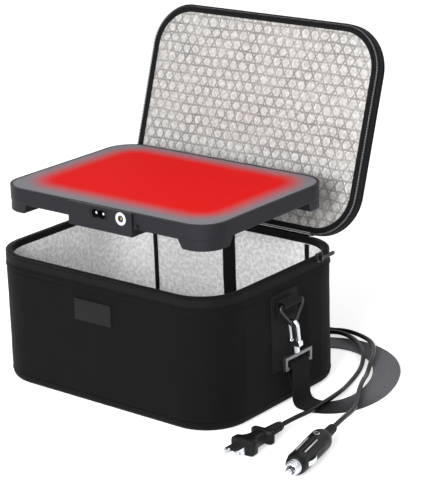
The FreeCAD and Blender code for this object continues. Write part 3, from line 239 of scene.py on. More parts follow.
@dataclass(frozen=True)
class Foil:
    """Silver film embossed with three families of fine lines that make six-pointed stars, on its own UV; the grooves
    of the lines are painted darker as painted shade, and patches of the film are painted brighter as painted
    highlights.
    """

    name: str
    high: str = "c0bebb"
    # The low colour is painted shade for the embossed grooves.
    low: str = "5a5a5b"
    spacing: float = 10 * MM
    lattice: float = 1.0
    crinkle: float = 0.35 * MM
    metallic: float = 0.35

    def make(self) -> bpy.types.Material:
        """Build the material."""
        shading = Shading(self.name)
        where = shading.where("UV")
        wobble = add(shading.tree, "ShaderNodeTexNoise", {"Vector": where, "Scale": 60.0, "Detail": 2.0})
        shift = {0: wobble.outputs["Color"], "Scale": 0.005}
        shifted = add(shading.tree, "ShaderNodeVectorMath", shift, operation="SCALE").outputs[0]
        place = add(shading.tree, "ShaderNodeVectorMath", {0: where, 1: shifted}, operation="ADD").outputs[0]
        lines = None
        for angle in (math.radians(30), math.radians(90), math.radians(150)):
            way = (math.cos(angle) * math.tau / self.spacing, math.sin(angle) * math.tau / self.spacing, 0.0)
            dot = add(shading.tree, "ShaderNodeVectorMath", {0: place, 1: way}, operation="DOT_PRODUCT")
            line = shading.ease(shading.math("COSINE", dot.outputs["Value"]), -0.66, -0.98, 0.0, 1.0)
            lines = line if lines is None else shading.math("MAXIMUM", lines, line)
        patchy = shading.noise(where, 35.0, 3.0)
        # Painted shade: the embossed grooves are coloured towards the low colour, more in some patches than in others.
        share = shading.math("MULTIPLY", lines, shading.spread(patchy, 0.1 * self.lattice, self.lattice))
        rough = shading.noise(where, 260.0, 5.0)
        crease = add(shading.tree, "ShaderNodeTexVoronoi", {"Vector": where, "Scale": 150.0}).outputs["Distance"]
        shading.raise_by(rough, self.crinkle)
        shading.raise_by(crease, self.crinkle * 0.8)
        shading.raise_by(shading.math("SUBTRACT", 1.0, share), 0.5 * MM * self.lattice)
        # Painted highlights: patches of the film are painted in the full high colour, the rest in a darker copy.
        painted_highlight_patches = shading.ease(rough, 0.38, 0.62, 0.0, 1.0)
        soft = tuple(first * 0.74 for first in linear(self.high)[:3]) + (1.0,)
        shading.set(
            Base_Color=shading.blend(share, shading.blend(painted_highlight_patches, soft, linear(self.high)), linear(self.low)),
            Metallic=self.metallic,
            Roughness=shading.spread(rough, 0.34, 0.5),
        )
        return shading.finish()


@dataclass(frozen=True)
class Moulded:
    """Moulded plastic, rubber or foam with a fine grain."""

    name: str
    colour: str
    roughness: float = 0.45
    grain: float = 0.04 * MM
    grain_scale: float = 2500.0
    specular: float = 0.12

    def make(self) -> bpy.types.Material:
        """Build the material."""
        shading = Shading(self.name)
        where = shading.where("Object")
        cloud = shading.noise(where, 30.0, 3.0)
        shading.raise_by(shading.noise(where, self.grain_scale, 2.0), self.grain)
        dark = linear(self.colour)
        light = tuple(min(1.0, part * 1.2 + 0.001) for part in dark[:3]) + (1.0,)
        shading.set(
            Base_Color=shading.blend(cloud, dark, light),
            Roughness=shading.spread(cloud, self.roughness - 0.06, self.roughness + 0.08),
            Specular_IOR_Level=self.specular,
        )
        return shading.finish()


@dataclass(frozen=True)
class Metal:
    """Plated or brushed metal with dulled patches."""

    name: str
    colour: str
    roughness: float = 0.2
    scratch: float = 0.01 * MM

    def make(self) -> bpy.types.Material:
        """Build the material."""
        shading = Shading(self.name)
        where = shading.where("Object")
        dull = shading.noise(where, 120.0, 4.0)
        shading.raise_by(shading.noise(where, 3000.0, 2.0), self.scratch)
        colour = linear(self.colour)
        wear_and_painted_light = tuple(part * 0.85 for part in colour[:3]) + (1.0,)
        shading.set(
            Base_Color=shading.blend(dull, colour, wear_and_painted_light),
            Metallic=1.0,
            Roughness=shading.spread(dull, max(0.03, self.roughness - 0.06), self.roughness + 0.12),
        )
        return shading.finish()


@dataclass(frozen=True)
class GlowPaintedPlate:
    """Grey coated metal with a painted red glow inside a rounded rectangle: red colour and a faint emission."""

    name: str
    middle: tuple[float, float]
    half: tuple[float, float]
    edge: float

    def make(self) -> bpy.types.Material:
        """Build the material."""
        shading = Shading(self.name)
        where = shading.where("Object")
        parts = add(shading.tree, "ShaderNodeSeparateXYZ", {0: where})
        beyond = []
        for number in (0, 1):
            away = shading.math("ABSOLUTE", shading.math("SUBTRACT", parts.outputs[number], self.middle[number]))
            past = shading.math("MAXIMUM", shading.math("SUBTRACT", away, self.half[number] - self.edge), 0.0)
            beyond.append(shading.math("MULTIPLY", past, past))
        distance = shading.math("SQRT", shading.math("ADD", beyond[0], beyond[1]))
        # Painted glow: red colour and faint emission, full inside the rectangle and fading out at its rounded edge.
        painted_glow = shading.ease(distance, self.edge * 0.3, self.edge, 1.0, 0.0)
        shading.raise_by(shading.noise(where, 1800.0, 2.0), 0.02 * MM)
        plate_grey = shading.blend(shading.noise(where, 25.0), linear("77777d"), linear("88888e"))
        shading.set(
            Base_Color=shading.blend(painted_glow, plate_grey, linear("d81210")),
            Roughness=0.6,
            Specular_IOR_Level=0.03,
            Emission_Color=linear("ff2018"),
            Emission_Strength=shading.math("MULTIPLY", painted_glow, 0.06),
        )
        return shading.finish()


class Finishes:
    """All the materials of the scene, each built once."""

    def __init__(self) -> None:
        self.oxford = Cloth("oxford_weave", "050506", "0c0c0d").make()
        self.binding = Cloth("binding_tape", "0a0a0b", "131314", 0.6 * MM, 0.08 * MM, 0.68).make()
        self.lining_tape = Cloth("lining_tape", "0c0c0d", "161617", 1.1 * MM, 0.1 * MM, 0.7).make()
        self.patch = Cloth("patch_cloth", "0d0d0e", "171718", 0.7 * MM, 0.08 * MM, 0.6).make()
        self.webbing = Webbing("webbing_black", "0b0b0c", "161618", "0b0b0c", "161618").make()
        # The carry strap is dark near its hooks and painted a lit grey farther out: painted light.
        self.strap = Webbing(
            "webbing_painted_light", "070708", "101012", "5a5a5e", "7c7c81", painted_light_from=0.085, painted_light_to=0.16
        ).make()
        self.lid_foil = Foil("embossed_foil").make()
        # The wall foil is a lit copy of the lid's foil, painted near white and less metallic: painted light for the
        # inside of the bag.
        self.painted_lit_wall_foil = Foil("embossed_foil_wall_painted_light", "fbfbfc", "e4e4e5", lattice=0.4, crinkle=0.4 * MM, metallic=0.05).make()
        self.foam = Moulded("closed_cell_foam", "8f9092", 0.9, 0.2 * MM, 900.0).make()
        self.board = Moulded("pressed_board", "8b8377", 0.85, 0.1 * MM, 700.0).make()
        self.label = Moulded("soft_label_rubber", "141415", 0.6, 0.05 * MM, 1500.0).make()
        self.thread = Moulded("sewing_thread", "1e1e1f", 0.7, 0.03 * MM, 4000.0).make()
        self.zip_coil = Moulded("zip_coil_nylon", "161617", 0.4, 0.01 * MM).make()
        self.housing = Moulded("housing_plastic", "19191d", 0.45, 0.03 * MM, 2600.0).make()
        self.plug = Moulded("plug_rubber", "101011", 0.4, 0.02 * MM, 2200.0).make()
        self.cord = Moulded("cord_jacket", "0a0a0b", 0.22, 0.01 * MM, 1600.0).make()
        self.pads = Moulded("rubber_pads", "18181a", 0.75, 0.05 * MM, 1200.0).make()
        self.insulation = Moulded("glass_wool_pad", "d9d2bf", 0.95, 0.3 * MM, 500.0).make()
        self.film = Moulded("heater_film_amber", "8a4a12", 0.35, 0.01 * MM).make()
        self.rib = Metal("bright_rib", "c9cacc", 0.28).make()
        self.chrome = Metal("bright_chrome", "d6d9de", 0.12).make()
        self.dark_metal = Metal("grey_nickel", "838387", 0.32).make()
        self.black_metal = Metal("black_nickel", "3a3b3f", 0.3).make()
        self.brass = Metal("brass_pins", "c9a14e", 0.22).make()
        # The plate's top carries a painted red glow.
        self.hot_plate = GlowPaintedPlate("warming_surface_painted_glow", (0.0, 0.004), (0.127, 0.091), 0.045).make()


# Mesh building
Row = Sequence[Vector]
Coords = Sequence[Sequence[tuple[float, float]]]


def draw(
    work: bmesh.types.BMesh, rows: Sequence[Row], coords: Coords | None = None, closed: bool = False, capped: bool = False
) -> list[bmesh.types.BMEdge]:
    """Draw a line of points from row to row by extruding its edges.

    Args:
        work: The mesh to add to.
        rows: The line's points at each stop, as many in each.
        coords: A UV pair for each point, with one more in each row where the line is closed.
        closed: Whether the line closes on itself.
        capped: Whether the first and the last row are filled.

    Returns:
        The edges of the last row.
    """
    layer = work.loops.layers.uv.verify() if coords else None
    verts = [work.verts.new(point) for point in rows[0]]
    pairs = list(zip(verts, verts[1:])) + ([(verts[-1], verts[0])] if closed else [])
    edges = first = [work.edges.new(pair) for pair in pairs]
    places = {vert: number for number, vert in enumerate(verts)}
    for stop, row in enumerate(rows[1:], 1):
        made = bmesh.ops.extrude_edge_only(work, edges=edges)["geom"]
        ahead = {}
        for vert in (part for part in made if isinstance(part, bmesh.types.BMVert)):
            behind = (edge.other_vert(vert) for edge in vert.link_edges)
            ahead[vert] = next(places[other] for other in behind if other in places)
            vert.co = row[ahead[vert]]
        for face in (part for part in made if isinstance(part, bmesh.types.BMFace)) if coords else ():
            numbers = [ahead.get(loop.vert, places.get(loop.vert)) for loop in face.loops]
            wraps = max(numbers) - min(numbers) > 1
            for loop, number in zip(face.loops, numbers):
                at = len(row) if wraps and number == 0 else number
                loop[layer].uv = coords[stop if loop.vert in ahead else stop - 1][at]
        edges = [
            part
            for part in made
            if isinstance(part, bmesh.types.BMEdge) and all(vert in ahead for vert in part.verts)
        ]
        places = ahead
    if capped:
        for ring in (first, edges):
            bmesh.ops.contextual_create(work, geom=ring)
    return edges


def turn(
    work: bmesh.types.BMesh, profile: Sequence[tuple[float, float]], place: Matrix, sides: int = 40, closed: bool = False
) -> list[bmesh.types.BMVert]:
    """Spin a profile of heights and radii about the Z of a place.

    Args:
        work: The mesh to add to.
        profile: Pairs of height and radius in millimetres.
        place: Where the solid stands.
        sides: The number of sides.
        closed: Whether the profile closes on itself, as a ring's does.

    Returns:
        The new vertices.
    """
    before = set(work.verts)
    verts = [work.verts.new((radius * MM, 0, height * MM)) for height, radius in profile]
    pairs = list(zip(verts, verts[1:])) + ([(verts[-1], verts[0])] if closed else [])
    edges = [work.edges.new(pair) for pair in pairs]
    spun = {"cent": (0, 0, 0), "axis": (0, 0, 1), "angle": math.tau, "steps": sides, "use_merge": True}
    bmesh.ops.spin(work, geom=verts + edges, **spun)
    fresh = [vert for vert in work.verts if vert not in before]
    bmesh.ops.remove_doubles(work, verts=fresh, dist=1e-7)
    fresh = [vert for vert in work.verts if vert not in before]
    bmesh.ops.transform(work, matrix=place, verts=fresh)
    return fresh


def block(work: bmesh.types.BMesh, low: Vector, high: Vector, bevel: float, place: Matrix | None = None) -> None:
    """Add a block with rounded edges.

    Args:
        work: The mesh to add to.
        low: One corner.
        high: The opposite corner.
        bevel: The rounding of its edges.
        place: Where the block stands, if its corners are local.
    """
    scale = Matrix.Diagonal(Vector(abs(part) for part in high - low)).to_4x4()
    matrix = (place or Matrix()) @ Matrix.Translation((low + high) / 2) @ scale
    made = bmesh.ops.create_cube(work, size=1.0, matrix=matrix)["verts"]
    edges = list({edge for vert in made for edge in vert.link_edges})
    bmesh.ops.bevel(work, geom=edges, offset=bevel, segments=3, profile=0.5, material=-1, affect="EDGES")


def tube(work: bmesh.types.BMesh, points: Row, radii: Sequence[float] | float, sides: int = 10) -> None:
    """Draw a round bar along points.

    Args:
        work: The mesh to add to.
        points: The middle line.
        radii: One radius, or one for each point.
        sides: The number of sides.
    """
    sizes = [radii] * len(points) if isinstance(radii, float) else radii
    turns = [math.tau * number / sides for number in range(sides)]
    rows = []
    side = None
    for number, (point, radius) in enumerate(zip(points, sizes)):
        onward = (points[min(number + 1, len(points) - 1)] - points[max(number - 1, 0)]).normalized()
        if side is None:
            side = onward.cross(Vector((0, 0, 1)) if abs(onward.z) < 0.9 else Vector((1, 0, 0)))
        side = (side - onward * side.dot(onward)).normalized()
        other = onward.cross(side)
        rows.append([point + (side * math.cos(angle) + other * math.sin(angle)) * radius for angle in turns])
    draw(work, rows, closed=True, capped=True)


def sprinkle(work: bmesh.types.BMesh, shape: bmesh.types.BMesh, places: Iterable[Matrix]) -> None:
    """Copy a small shape to many places and free it.

    Args:
        work: The mesh to add to.
        shape: The small shape.
        places: Where its copies stand.
    """
    mesh = bpy.data.meshes.new("small_shape")
    shape.to_mesh(mesh)
    shape.free()
    for place in places:
        count = len(work.verts)
        work.from_mesh(mesh)
        work.verts.ensure_lookup_table()
        for vert in work.verts[count:]:
            vert.co = place @ vert.co
    bpy.data.meshes.remove(mesh)


def keep(name: str, work: bmesh.types.BMesh, material: bpy.types.Material, smooth: bool = True) -> bpy.types.Object:
    """Turn a worked mesh into an object of the scene.

    Args:
        name: The piece's name.
        work: The mesh; its doubles are merged and it is freed.
        material: The finish.
        smooth: Whether faces are shaded smooth.

    Returns:
        The object, at the origin.
    """
    bmesh.ops.remove_doubles(work, verts=work.verts, dist=1e-6)
    bmesh.ops.recalc_face_normals(work, faces=work.faces)
    for face in work.faces:
        face.smooth = smooth
    mesh = bpy.data.meshes.new(name)
    work.to_mesh(mesh)
    work.free()
    if smooth:
        mesh.set_sharp_from_angle(angle=math.radians(50))
    mesh.materials.append(material)
    item = bpy.data.objects.new(name, mesh)
    bpy.context.scene.collection.objects.link(item)
    LOG.info("piece %s: %d faces", name, len(mesh.polygons))
    return item


@dataclass(frozen=True)
class Station:
    """A place on an outline: the point, the way out of it and the length walked so far."""

    point: Vector
    out: Vector
    walked: float

    def inside(self, inset: float, height: float) -> Vector:
        """The point at an inset from the outline and a height."""
        return self.point - self.out * inset + Vector((0, 0, height))


@dataclass(frozen=True)
class Outline:
    """A rounded rectangle in a level plane, walked from the middle of its back towards +X."""

    length: float
    width: float
    corner: float
    middle: float = 0.0

    def walk(self, step: float, gap: float = 0.0) -> list[Station]:
        """Give stations at nearly even steps, from one side of the gap to the other.

        Args:
            step: The length of a step.
            gap: Half the length left out about the middle of the back.

        Returns:
            The stations; without a gap, the last one lies on the first.
        """
        reach_x, reach_y = self.length / 2 - self.corner, self.width / 2 - self.corner
        quarter = self.corner * math.pi / 2
        legs = [reach_x, quarter, 2 * reach_y, quarter, 2 * reach_x, quarter, 2 * reach_y, quarter, reach_x]
        total = sum(legs)
        count = max(8, round((total - 2 * gap) / step))
        return [self.station(gap + (total - 2 * gap) * number / count, legs) for number in range(count + 1)]

    def station(self, walked: float, legs: Sequence[float]) -> Station:
        """Give the station at one length walked.

        Args:
            walked: The length.
            legs: The lengths of the straights and the corners in turn.

        Returns:
            The station.
        """
        rest, leg = walked, 0
        while leg < len(legs) - 1 and rest > legs[leg]:
            rest -= legs[leg]
            leg += 1
        reach_x, reach_y = self.length / 2 - self.corner, self.width / 2 - self.corner
        hubs = ((reach_x, reach_y), (reach_x, -reach_y), (-reach_x, -reach_y), (-reach_x, reach_y))
        centre = Vector((0, self.middle, 0))
        if leg % 2:
            hub = Vector((*hubs[leg // 2], 0))
            angle = math.pi / 2 * (1 - leg // 2) - rest / self.corner
            out = Vector((math.cos(angle), math.sin(angle), 0))
            return Station(hub + out * self.corner + centre, out, walked)
        angle = math.pi / 2 * (1 - leg // 2)
        out = Vector((round(math.cos(angle)), round(math.sin(angle)), 0))
        onward = Vector((out.y, -out.x, 0))
        start = Vector((0, self.width / 2, 0)) if leg == 0 else Vector((*hubs[leg // 2 - 1], 0)) + out * self.corner
        return Station(start + onward * rest + centre, out, walked)


def ring_piece(
    name: str,
    outline: Outline,
    profile: Sequence[tuple[float, float]],
    material: bpy.types.Material,
    step: float = 3 * MM,
    closed: bool = False,
    gap: float = 0.0,
    offset: Offset | None = None,
    matrix: Matrix | None = None,
) -> bpy.types.Object:
    """Sweep a profile round an outline.

    Args:
        name: The piece's name.
        outline: The outline.
        profile: Pairs of inset and height in millimetres.
        material: The finish.
        step: The step along the outline.
        closed: Whether the profile closes on itself.
        gap: Half the length left out about the middle of the back.
        offset: How far each point moves outward.
        matrix: Where the finished piece goes.

    Returns:
        The object.
    """
    runs = [0.0]
    for before, after in zip(profile, list(profile[1:]) + [profile[0]]):
        runs.append(runs[-1] + math.dist(before, after) * MM)
    rows, coords = [], []
    for station in outline.walk(step, gap):
        row = []
        for inset, height in profile:
            point = station.inside(inset * MM, height * MM)
            if offset:
                point += station.out * offset(point, station.out)
            row.append(matrix @ point if matrix else point)
        rows.append(row)
        coords.append([(station.walked, run) for run in runs])
    work = bmesh.new()
    draw(work, rows, coords, closed, capped=closed and gap > 0)
    return keep(name, work, material)


def panel_piece(
    name: str,
    outline: Outline,
    inset: float,
    height: Callable[[Vector, float], float],
    material: bpy.types.Material,
    rounds: int = 26,
    step: float = 4 * MM,
    matrix: Matrix | None = None,
) -> bpy.types.Object:
    """Make a sheet that fills an outline, drawn ring by ring to its middle.

    Args:
        name: The piece's name.
        outline: The outline.
        inset: How far inside the outline the sheet ends.
        height: The height at a place and its share of the way from the middle to the edge.
        material: The finish.
        rounds: The number of rings.
        step: The step along the outline.
        matrix: Where the finished piece goes.

    Returns:
        The object.
    """
    middle = Vector((0, outline.middle, 0))
    stations = outline.walk(step)[:-1]
    rows, coords = [], []
    for number in range(rounds + 1):
        share = 1.0 - (number / rounds) ** 1.15 * 0.985
        row = []
        for station in stations:
            point = middle + (station.inside(inset, 0) - middle) * share
            row.append(Vector((point.x, point.y, height(point, share))))
        coords.append([(point.x, point.y) for point in row + row[:1]])
        rows.append([matrix @ point if matrix else point for point in row])
    work = bmesh.new()
    inner = draw(work, rows, coords, closed=True)
    layer = work.loops.layers.uv.verify()
    for face in bmesh.ops.contextual_create(work, geom=inner)["faces"]:
        for loop in face.loops:
            loop[layer].uv = coords[-1][0]
    return keep(name, work, material)


def sew(
    name: str, lines: Iterable[tuple[Vector, Vector, Vector]], material: bpy.types.Material, pitch: float = 3 * MM
) -> bpy.types.Object:
    """Sew small stitches along straight lines.

    Args:
        name: The piece's name.
        lines: The start and the end of each line and the way out of the cloth.
        material: The thread's finish.
        pitch: The length of a stitch with its gap.

    Returns:
        The object.
    """
    places = []
    for start, end, out in lines:
        onward = (end - start).normalized()
        turned = Matrix((onward, out.cross(onward), out)).transposed().to_4x4()
        count = max(1, round((end - start).length / pitch))
        for number in range(count):
            places.append(Matrix.Translation(start.lerp(end, (number + 0.5) / count)) @ turned)
    shape = bmesh.new()
    bmesh.ops.create_icosphere(shape, subdivisions=1, radius=1.0)
    bmesh.ops.scale(shape, vec=(pitch * 0.37, 0.3 * MM, 0.22 * MM), verts=shape.verts)
    work = bmesh.new()
    sprinkle(work, shape, places)
    return keep(name, work, material)


def sew_box(low: tuple[float, float], high: tuple[float, float], face: float, out: Vector) -> list:
    """Give the four lines of a sewn rectangle on an upright face.

    Args:
        low: Its low corner along the face and in height.
        high: Its high corner.
        face: Where the face is, along the way out.
        out: The way out, along X or Y.

    Returns:
        The lines for sewing.
    """
    spots = [(low[0], low[1]), (high[0], low[1]), (high[0], high[1]), (low[0], high[1])]
    if out.x:
        corners = [Vector((face, along, height)) for along, height in spots]
    else:
        corners = [Vector((along, face, height)) for along, height in spots]
    return [(start, end, out) for start, end in zip(corners, corners[1:] + corners[:1])]


def smooth_line(points: Row, rounds: int = 3) -> list[Vector]:
    """Round the corners of a line by cutting them, keeping its ends."""
    line = [Vector(point) for point in points]
    for _ in range(rounds):
        cut = [line[0]]
        for start, end in zip(line, line[1:]):
            cut += [start.lerp(end, 0.25), start.lerp(end, 0.75)]
        line = cut + [line[-1]]
    return line


def even_line(points: Row, step: float) -> list[Vector]:
    """Walk a line at nearly even steps."""
    lengths = [0.0]
    for start, end in zip(points, points[1:]):
        lengths.append(lengths[-1] + (end - start).length)
    count = max(2, round(lengths[-1] / step))
    walked, at = [], 0
    for number in range(count + 1):
        target = lengths[-1] * number / count
        while at < len(lengths) - 2 and lengths[at + 1] < target:
            at += 1
        share = (target - lengths[at]) / max(1e-12, lengths[at + 1] - lengths[at])
        walked.append(points[at].lerp(points[at + 1], min(1.0, share)))
    return walked


def ribbon_piece(
    name: str, line: Row, across: Row, width: float, thick: float, material: bpy.types.Material, bow: float = 0.0
) -> bpy.types.Object:
    """Make a flat band with rounded edges along a line.

    Args:
        name: The piece's name.
        line: The middle line.
        across: The way across the band at each point.
        width: The band's width.
        thick: The band's thickness.
        material: The finish.
        bow: How far the middle of the section stands above its edges.

    Returns:
        The object.
    """
    half, deep = width / 2, thick / 2
    shares = [number / 4 - 1 for number in range(9)]
    section = [(share * (half - deep * 0.4), deep + bow * (1 - share**2)) for share in shares] + [(half, 0.0)]
    section += [(-share * (half - deep * 0.4), -deep + bow * (1 - share**2)) for share in shares] + [(-half, 0.0)]
    rows, coords = [], []
    walked = 0.0
    for number, point in enumerate(line):
        onward = (line[min(len(line) - 1, number + 1)] - line[max(0, number - 1)]).normalized()
        side = (across[number] - onward * across[number].dot(onward)).normalized()
        face = onward.cross(side)
        if number:
            walked += (point - line[number - 1]).length
        rows.append([point + side * along + face * high for along, high in section])
        coords.append([(along, walked) for along, _ in section + section[:1]])
    work = bmesh.new()
    draw(work, rows, coords, closed=True, capped=True)
    return keep(name, work, material)


def crumple(point: Vector, size: float, seed: float) -> float:
    """Give a soft random value between about -1 and 1 at a place."""
    return noise.noise(Vector((point.x / size + seed, point.y / size, point.z / size)))


def dress(names: Iterable[str], material: bpy.types.Material) -> None:
    """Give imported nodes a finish."""
    for name in names:
        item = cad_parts[name]
        if not item.material_slots:
            item.data.materials.append(material)
        for slot in item.material_slots:
            slot.material = material
        LOG.info("packed piece %s: %s", name, material.name)


def settle(item: bpy.types.Object, body: str, slot: str, *nodes: str) -> bpy.types.Object:
    """Let a piece ride on a body and hide the imported nodes that it stands for."""
    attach(item, body)
    if nodes:
        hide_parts(*nodes)
    return item


# The bag
BAG = Outline(280 * MM, 208 * MM, 45 * MM)
LID = Outline(280 * MM, 207.5 * MM, 45 * MM, -104.25 * MM)
LID_OPEN = Matrix.Translation((0, 104 * MM, 130 * MM)) @ Matrix.Rotation(math.radians(-108), 4, "X")
HINGE_HALF = 95 * MM


@dataclass
class BagShell:
    """The outer cloth, the foil lining, the bound rim, the zip, the tapes and the patches; heights in mm."""

    finishes: "Finishes"
    tray_top: float = 9.0
    tray_edge: float = 7.0
    rim_low: float = 121.0
    top: float = 130.0
    seam: float = 115.6
    wall: float = 6.5
    floor: float = 9.72
    swell: float = 1.7
    fold: float = 0.55

    def build(self) -> None:
        """Build every piece of the shell."""
        self.tray()
        self.cover()
        self.lining()
        self.rim()
        self.zip()
        self.tapes()
        self.label()
        self.side_patches()
        dress(["wall_foam", "base_foam"], self.finishes.foam)
        dress(["base_board"], self.finishes.board)

    def bulge(self, point: Vector, out: Vector) -> float:
        """Say how far the outer cloth stands proud of its outline.

        Args:
            point: A place on the outline at its height.
            out: The way out there.

        Returns:
            The length in metres.
        """
        height = (point.z / MM - self.tray_top) / (self.rim_low - self.tray_top)
        if not 0 < height < 1:
            return 0.0
        rise = math.sin(math.pi * height)
        front, end = abs(out.y) > 0.999, abs(out.x) > 0.999
        calm = min(1.0, max(0.0, (abs(point.y) / MM - 22) / 14)) if end else 1.0
        span = math.cos(math.pi * point.x / (230 * MM)) if front else 0.0
        if end:
            span = math.cos(math.pi * point.y / (170 * MM))
        wrinkle = max(self.fold * crumple(point, 26 * MM, 3.1) * min(1.0, rise * 2.2), -0.5)
        tuck = math.sin((point.x + point.y) * 900) * math.exp(-(((point.z / MM - 118) / 5) ** 2))
        return (self.swell * rise * max(0.0, span) + wrinkle + 0.2 * tuck) * calm * MM

    def tray(self) -> None:
        """The moulded tray: flat underside, rounded edge, and a lip at its seam."""
        edge = self.tray_edge
        turns = [math.pi / 2 * number / 7 for number in range(1, 8)]
        profile = [(edge + 30, 0.02), (edge + 8, 0.0), (edge, 0.0)]
        profile += [(edge * (1 - math.sin(angle)), edge * (1 - math.cos(angle))) for angle in turns]
        profile += [(-0.25, 8.2), (-0.45, 8.8), (0.1, 9.3), (1.2, 9.2)]
        tray = ring_piece("base_tray", BAG, profile, self.finishes.oxford)
        settle(tray, "bag", "oxford", "base_fabric")
        under = panel_piece("base_underside", BAG, 36 * MM, lambda point, share: 0.02 * MM, self.finishes.oxford, 6)
        settle(under, "bag", "oxford")

    def cover(self) -> None:
        """The outer cloth of the four sides, with its seam below the zip."""
        seam, low = self.seam, 10.2
        profile = [(1.0, 8.9), (0.15, 9.2), (0.0, low)]
        profile += [(0.0, low + (seam - 1.6 - low) * number / 34) for number in range(1, 35)]
        profile += [(0.25, seam - 0.7), (0.3, seam - 0.3), (-0.5, seam + 0.1), (-0.85, seam + 0.7)]
        profile += [(-0.75, seam + 1.6), (-0.35, seam + 3.2), (-0.2, self.rim_low - 0.8)]
        profile += [(0.1, self.rim_low), (1.2, self.rim_low)]
        item = ring_piece("side_cover", BAG, profile, self.finishes.oxford, offset=self.bulge)
        settle(item, "bag", "oxford", "side_fabric")

    def slack(self, point: Vector, out: Vector) -> float:
        """Say how far the foil of the walls wanders into the bag, as a negative length.

        Args:
            point: A place on the wall.
            out: The way out there.

        Returns:
            The length in metres.
        """
        high = (point.z / MM - 12) / 108
        ends = max(0.0, min(1.0, high * 6, (1.02 - high) * 8)) * (1 - 1.7 * abs(out.x * out.y))
        fold = crumple(Vector((point.x, point.y, point.z * 0.22)), 21 * MM, 9.7)
        dent = crumple(point, 8 * MM, 5.0)
        return -(0.9 + 0.85 * fold + 0.3 * dent) * MM * ends

    def lining(self) -> None:
        """The foil of the walls and the floor."""
        wall, rise, low, high = self.wall, 44, 10.8, 124.0
        profile = [(wall + 2.2, self.floor - 0.05), (wall + 0.9, self.floor + 0.3)]
        profile += [(wall, low + (high - low) * number / rise) for number in range(rise + 1)]
        # The walls and the floor take the lit copy of the foil, which carries painted light.
        foil = self.finishes.painted_lit_wall_foil
        walls = ring_piece("foil_walls", BAG, profile, foil, step=2.5 * MM, offset=self.slack)
        settle(walls, "bag", "foil", "foil_liner")

        def floor_height(point: Vector, share: float) -> float:
            """The height of the floor at a place."""
            return (self.floor - 0.18 + 0.16 * crumple(point, 11 * MM, 2.0)) * MM

        floor = panel_piece("foil_floor", BAG, (wall + 0.4) * MM, floor_height, foil, 40, 3 * MM)
        settle(floor, "bag", "foil")

    def rim(self) -> None:
        """The bound edge over the top of the foam, with its stitch line on the inside."""
        low, top = self.rim_low, self.top
        profile = [(2.6, low + 5), (2.55, top - 1.2), (2.9, top - 0.35), (3.7, top + 0.05), (5.0, top + 0.05)]
        profile += [(6.1, top - 0.4), (6.8, top - 1.4), (7.0, top - 2.8), (6.9, top - 4.6), (7.1, top - 5.6)]
        profile += [(6.8, top - 6.3), (6.0, top - 6.2), (5.9, low + 5)]
        settle(ring_piece("rim_edge", BAG, profile, self.finishes.binding, closed=True), "bag", "binding", "rim_binding")
        stations = BAG.walk(6 * MM)
        spots = [(station.inside(7.1 * MM, (top - 4.9) * MM), -station.out) for station in stations]
        lines = [(start, end, out) for (start, out), (end, _) in zip(spots, spots[1:])]
        settle(sew("rim_stitches", lines, self.finishes.thread), "bag", "binding")

    def zip(self) -> None:
        """The tape and the coil of the bag's half of the zip."""
        low, top = self.rim_low, self.top
        tape = [(0.8, low - 0.2), (-0.1, low - 0.2), (-0.15, low + 3), (0.0, top - 2.2), (0.6, top - 1.9)]
        tape.append((1.0, top - 2.4))
        item = ring_piece("zip_tape_bag", BAG, tape, self.finishes.binding, closed=True, gap=HINGE_HALF)
        settle(item, "bag", "zip", "bag_zip")
        settle(zip_teeth("zip_teeth_bag", BAG, top - 1.15, self.finishes.zip_coil), "bag", "zip")

    def tapes(self) -> None:
        """The wide seam tape and the two narrow ones on the back wall."""
        for number, (middle, width, depth) in enumerate(((0.0, 16.0, 96.6), (97.0, 5.0, 96.3), (-97.0, 5.0, 96.3))):
            line = []
            for step in range(31):
                height = (12 + 111.5 * step / 30) * MM
                sway = 0.5 * MM * crumple(Vector((middle, 0, height)), 30 * MM, 7.0 + number)
                line.append(Vector((middle * MM + sway, (depth - 0.35) * MM, height)))
            across = [Vector((1, 0, 0))] * len(line)
            finish = self.finishes.lining_tape
            item = ribbon_piece(f"wall_tape_{number}", line, across, width * MM, 1.1 * MM, finish, -0.25 * MM)
            settle(item, "bag", "binding", *(["back_straps"] if number == 0 else []))

    def label(self) -> None:
        """The plain label on the front, with a raised border and sewn round its edge."""
        low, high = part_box("label_patch")
        out = Vector((0, -1, 0))
        spots = [(low.x + (high.x - low.x) * i / 8, low.z + (high.z - low.z) * k / 4) for i in range(9) for k in range(5)]
        proud = max(self.bulge(Vector((x, low.y, z)), out) for x, z in spots)
        face = low.y - proud
        work = bmesh.new()
        block(work, Vector((low.x, face, low.z)), Vector((high.x, high.y + 1.2 * MM, high.z)), 0.35 * MM)
        inset = 2.0 * MM
        inner_low = Vector((low.x + inset, face - 0.2 * MM, low.z + inset))
        block(work, inner_low, Vector((high.x - inset, face + 0.3 * MM, high.z - inset)), 0.15 * MM)
        settle(keep("front_label", work, self.finishes.label), "bag", "label", "label_patch")
        inset = 1.0 * MM
        lines = sew_box((low.x + inset, low.z + inset), (high.x - inset, high.z - inset), face, out)
        settle(sew("label_stitches", lines, self.finishes.thread, 2.6 * MM), "bag", "label")

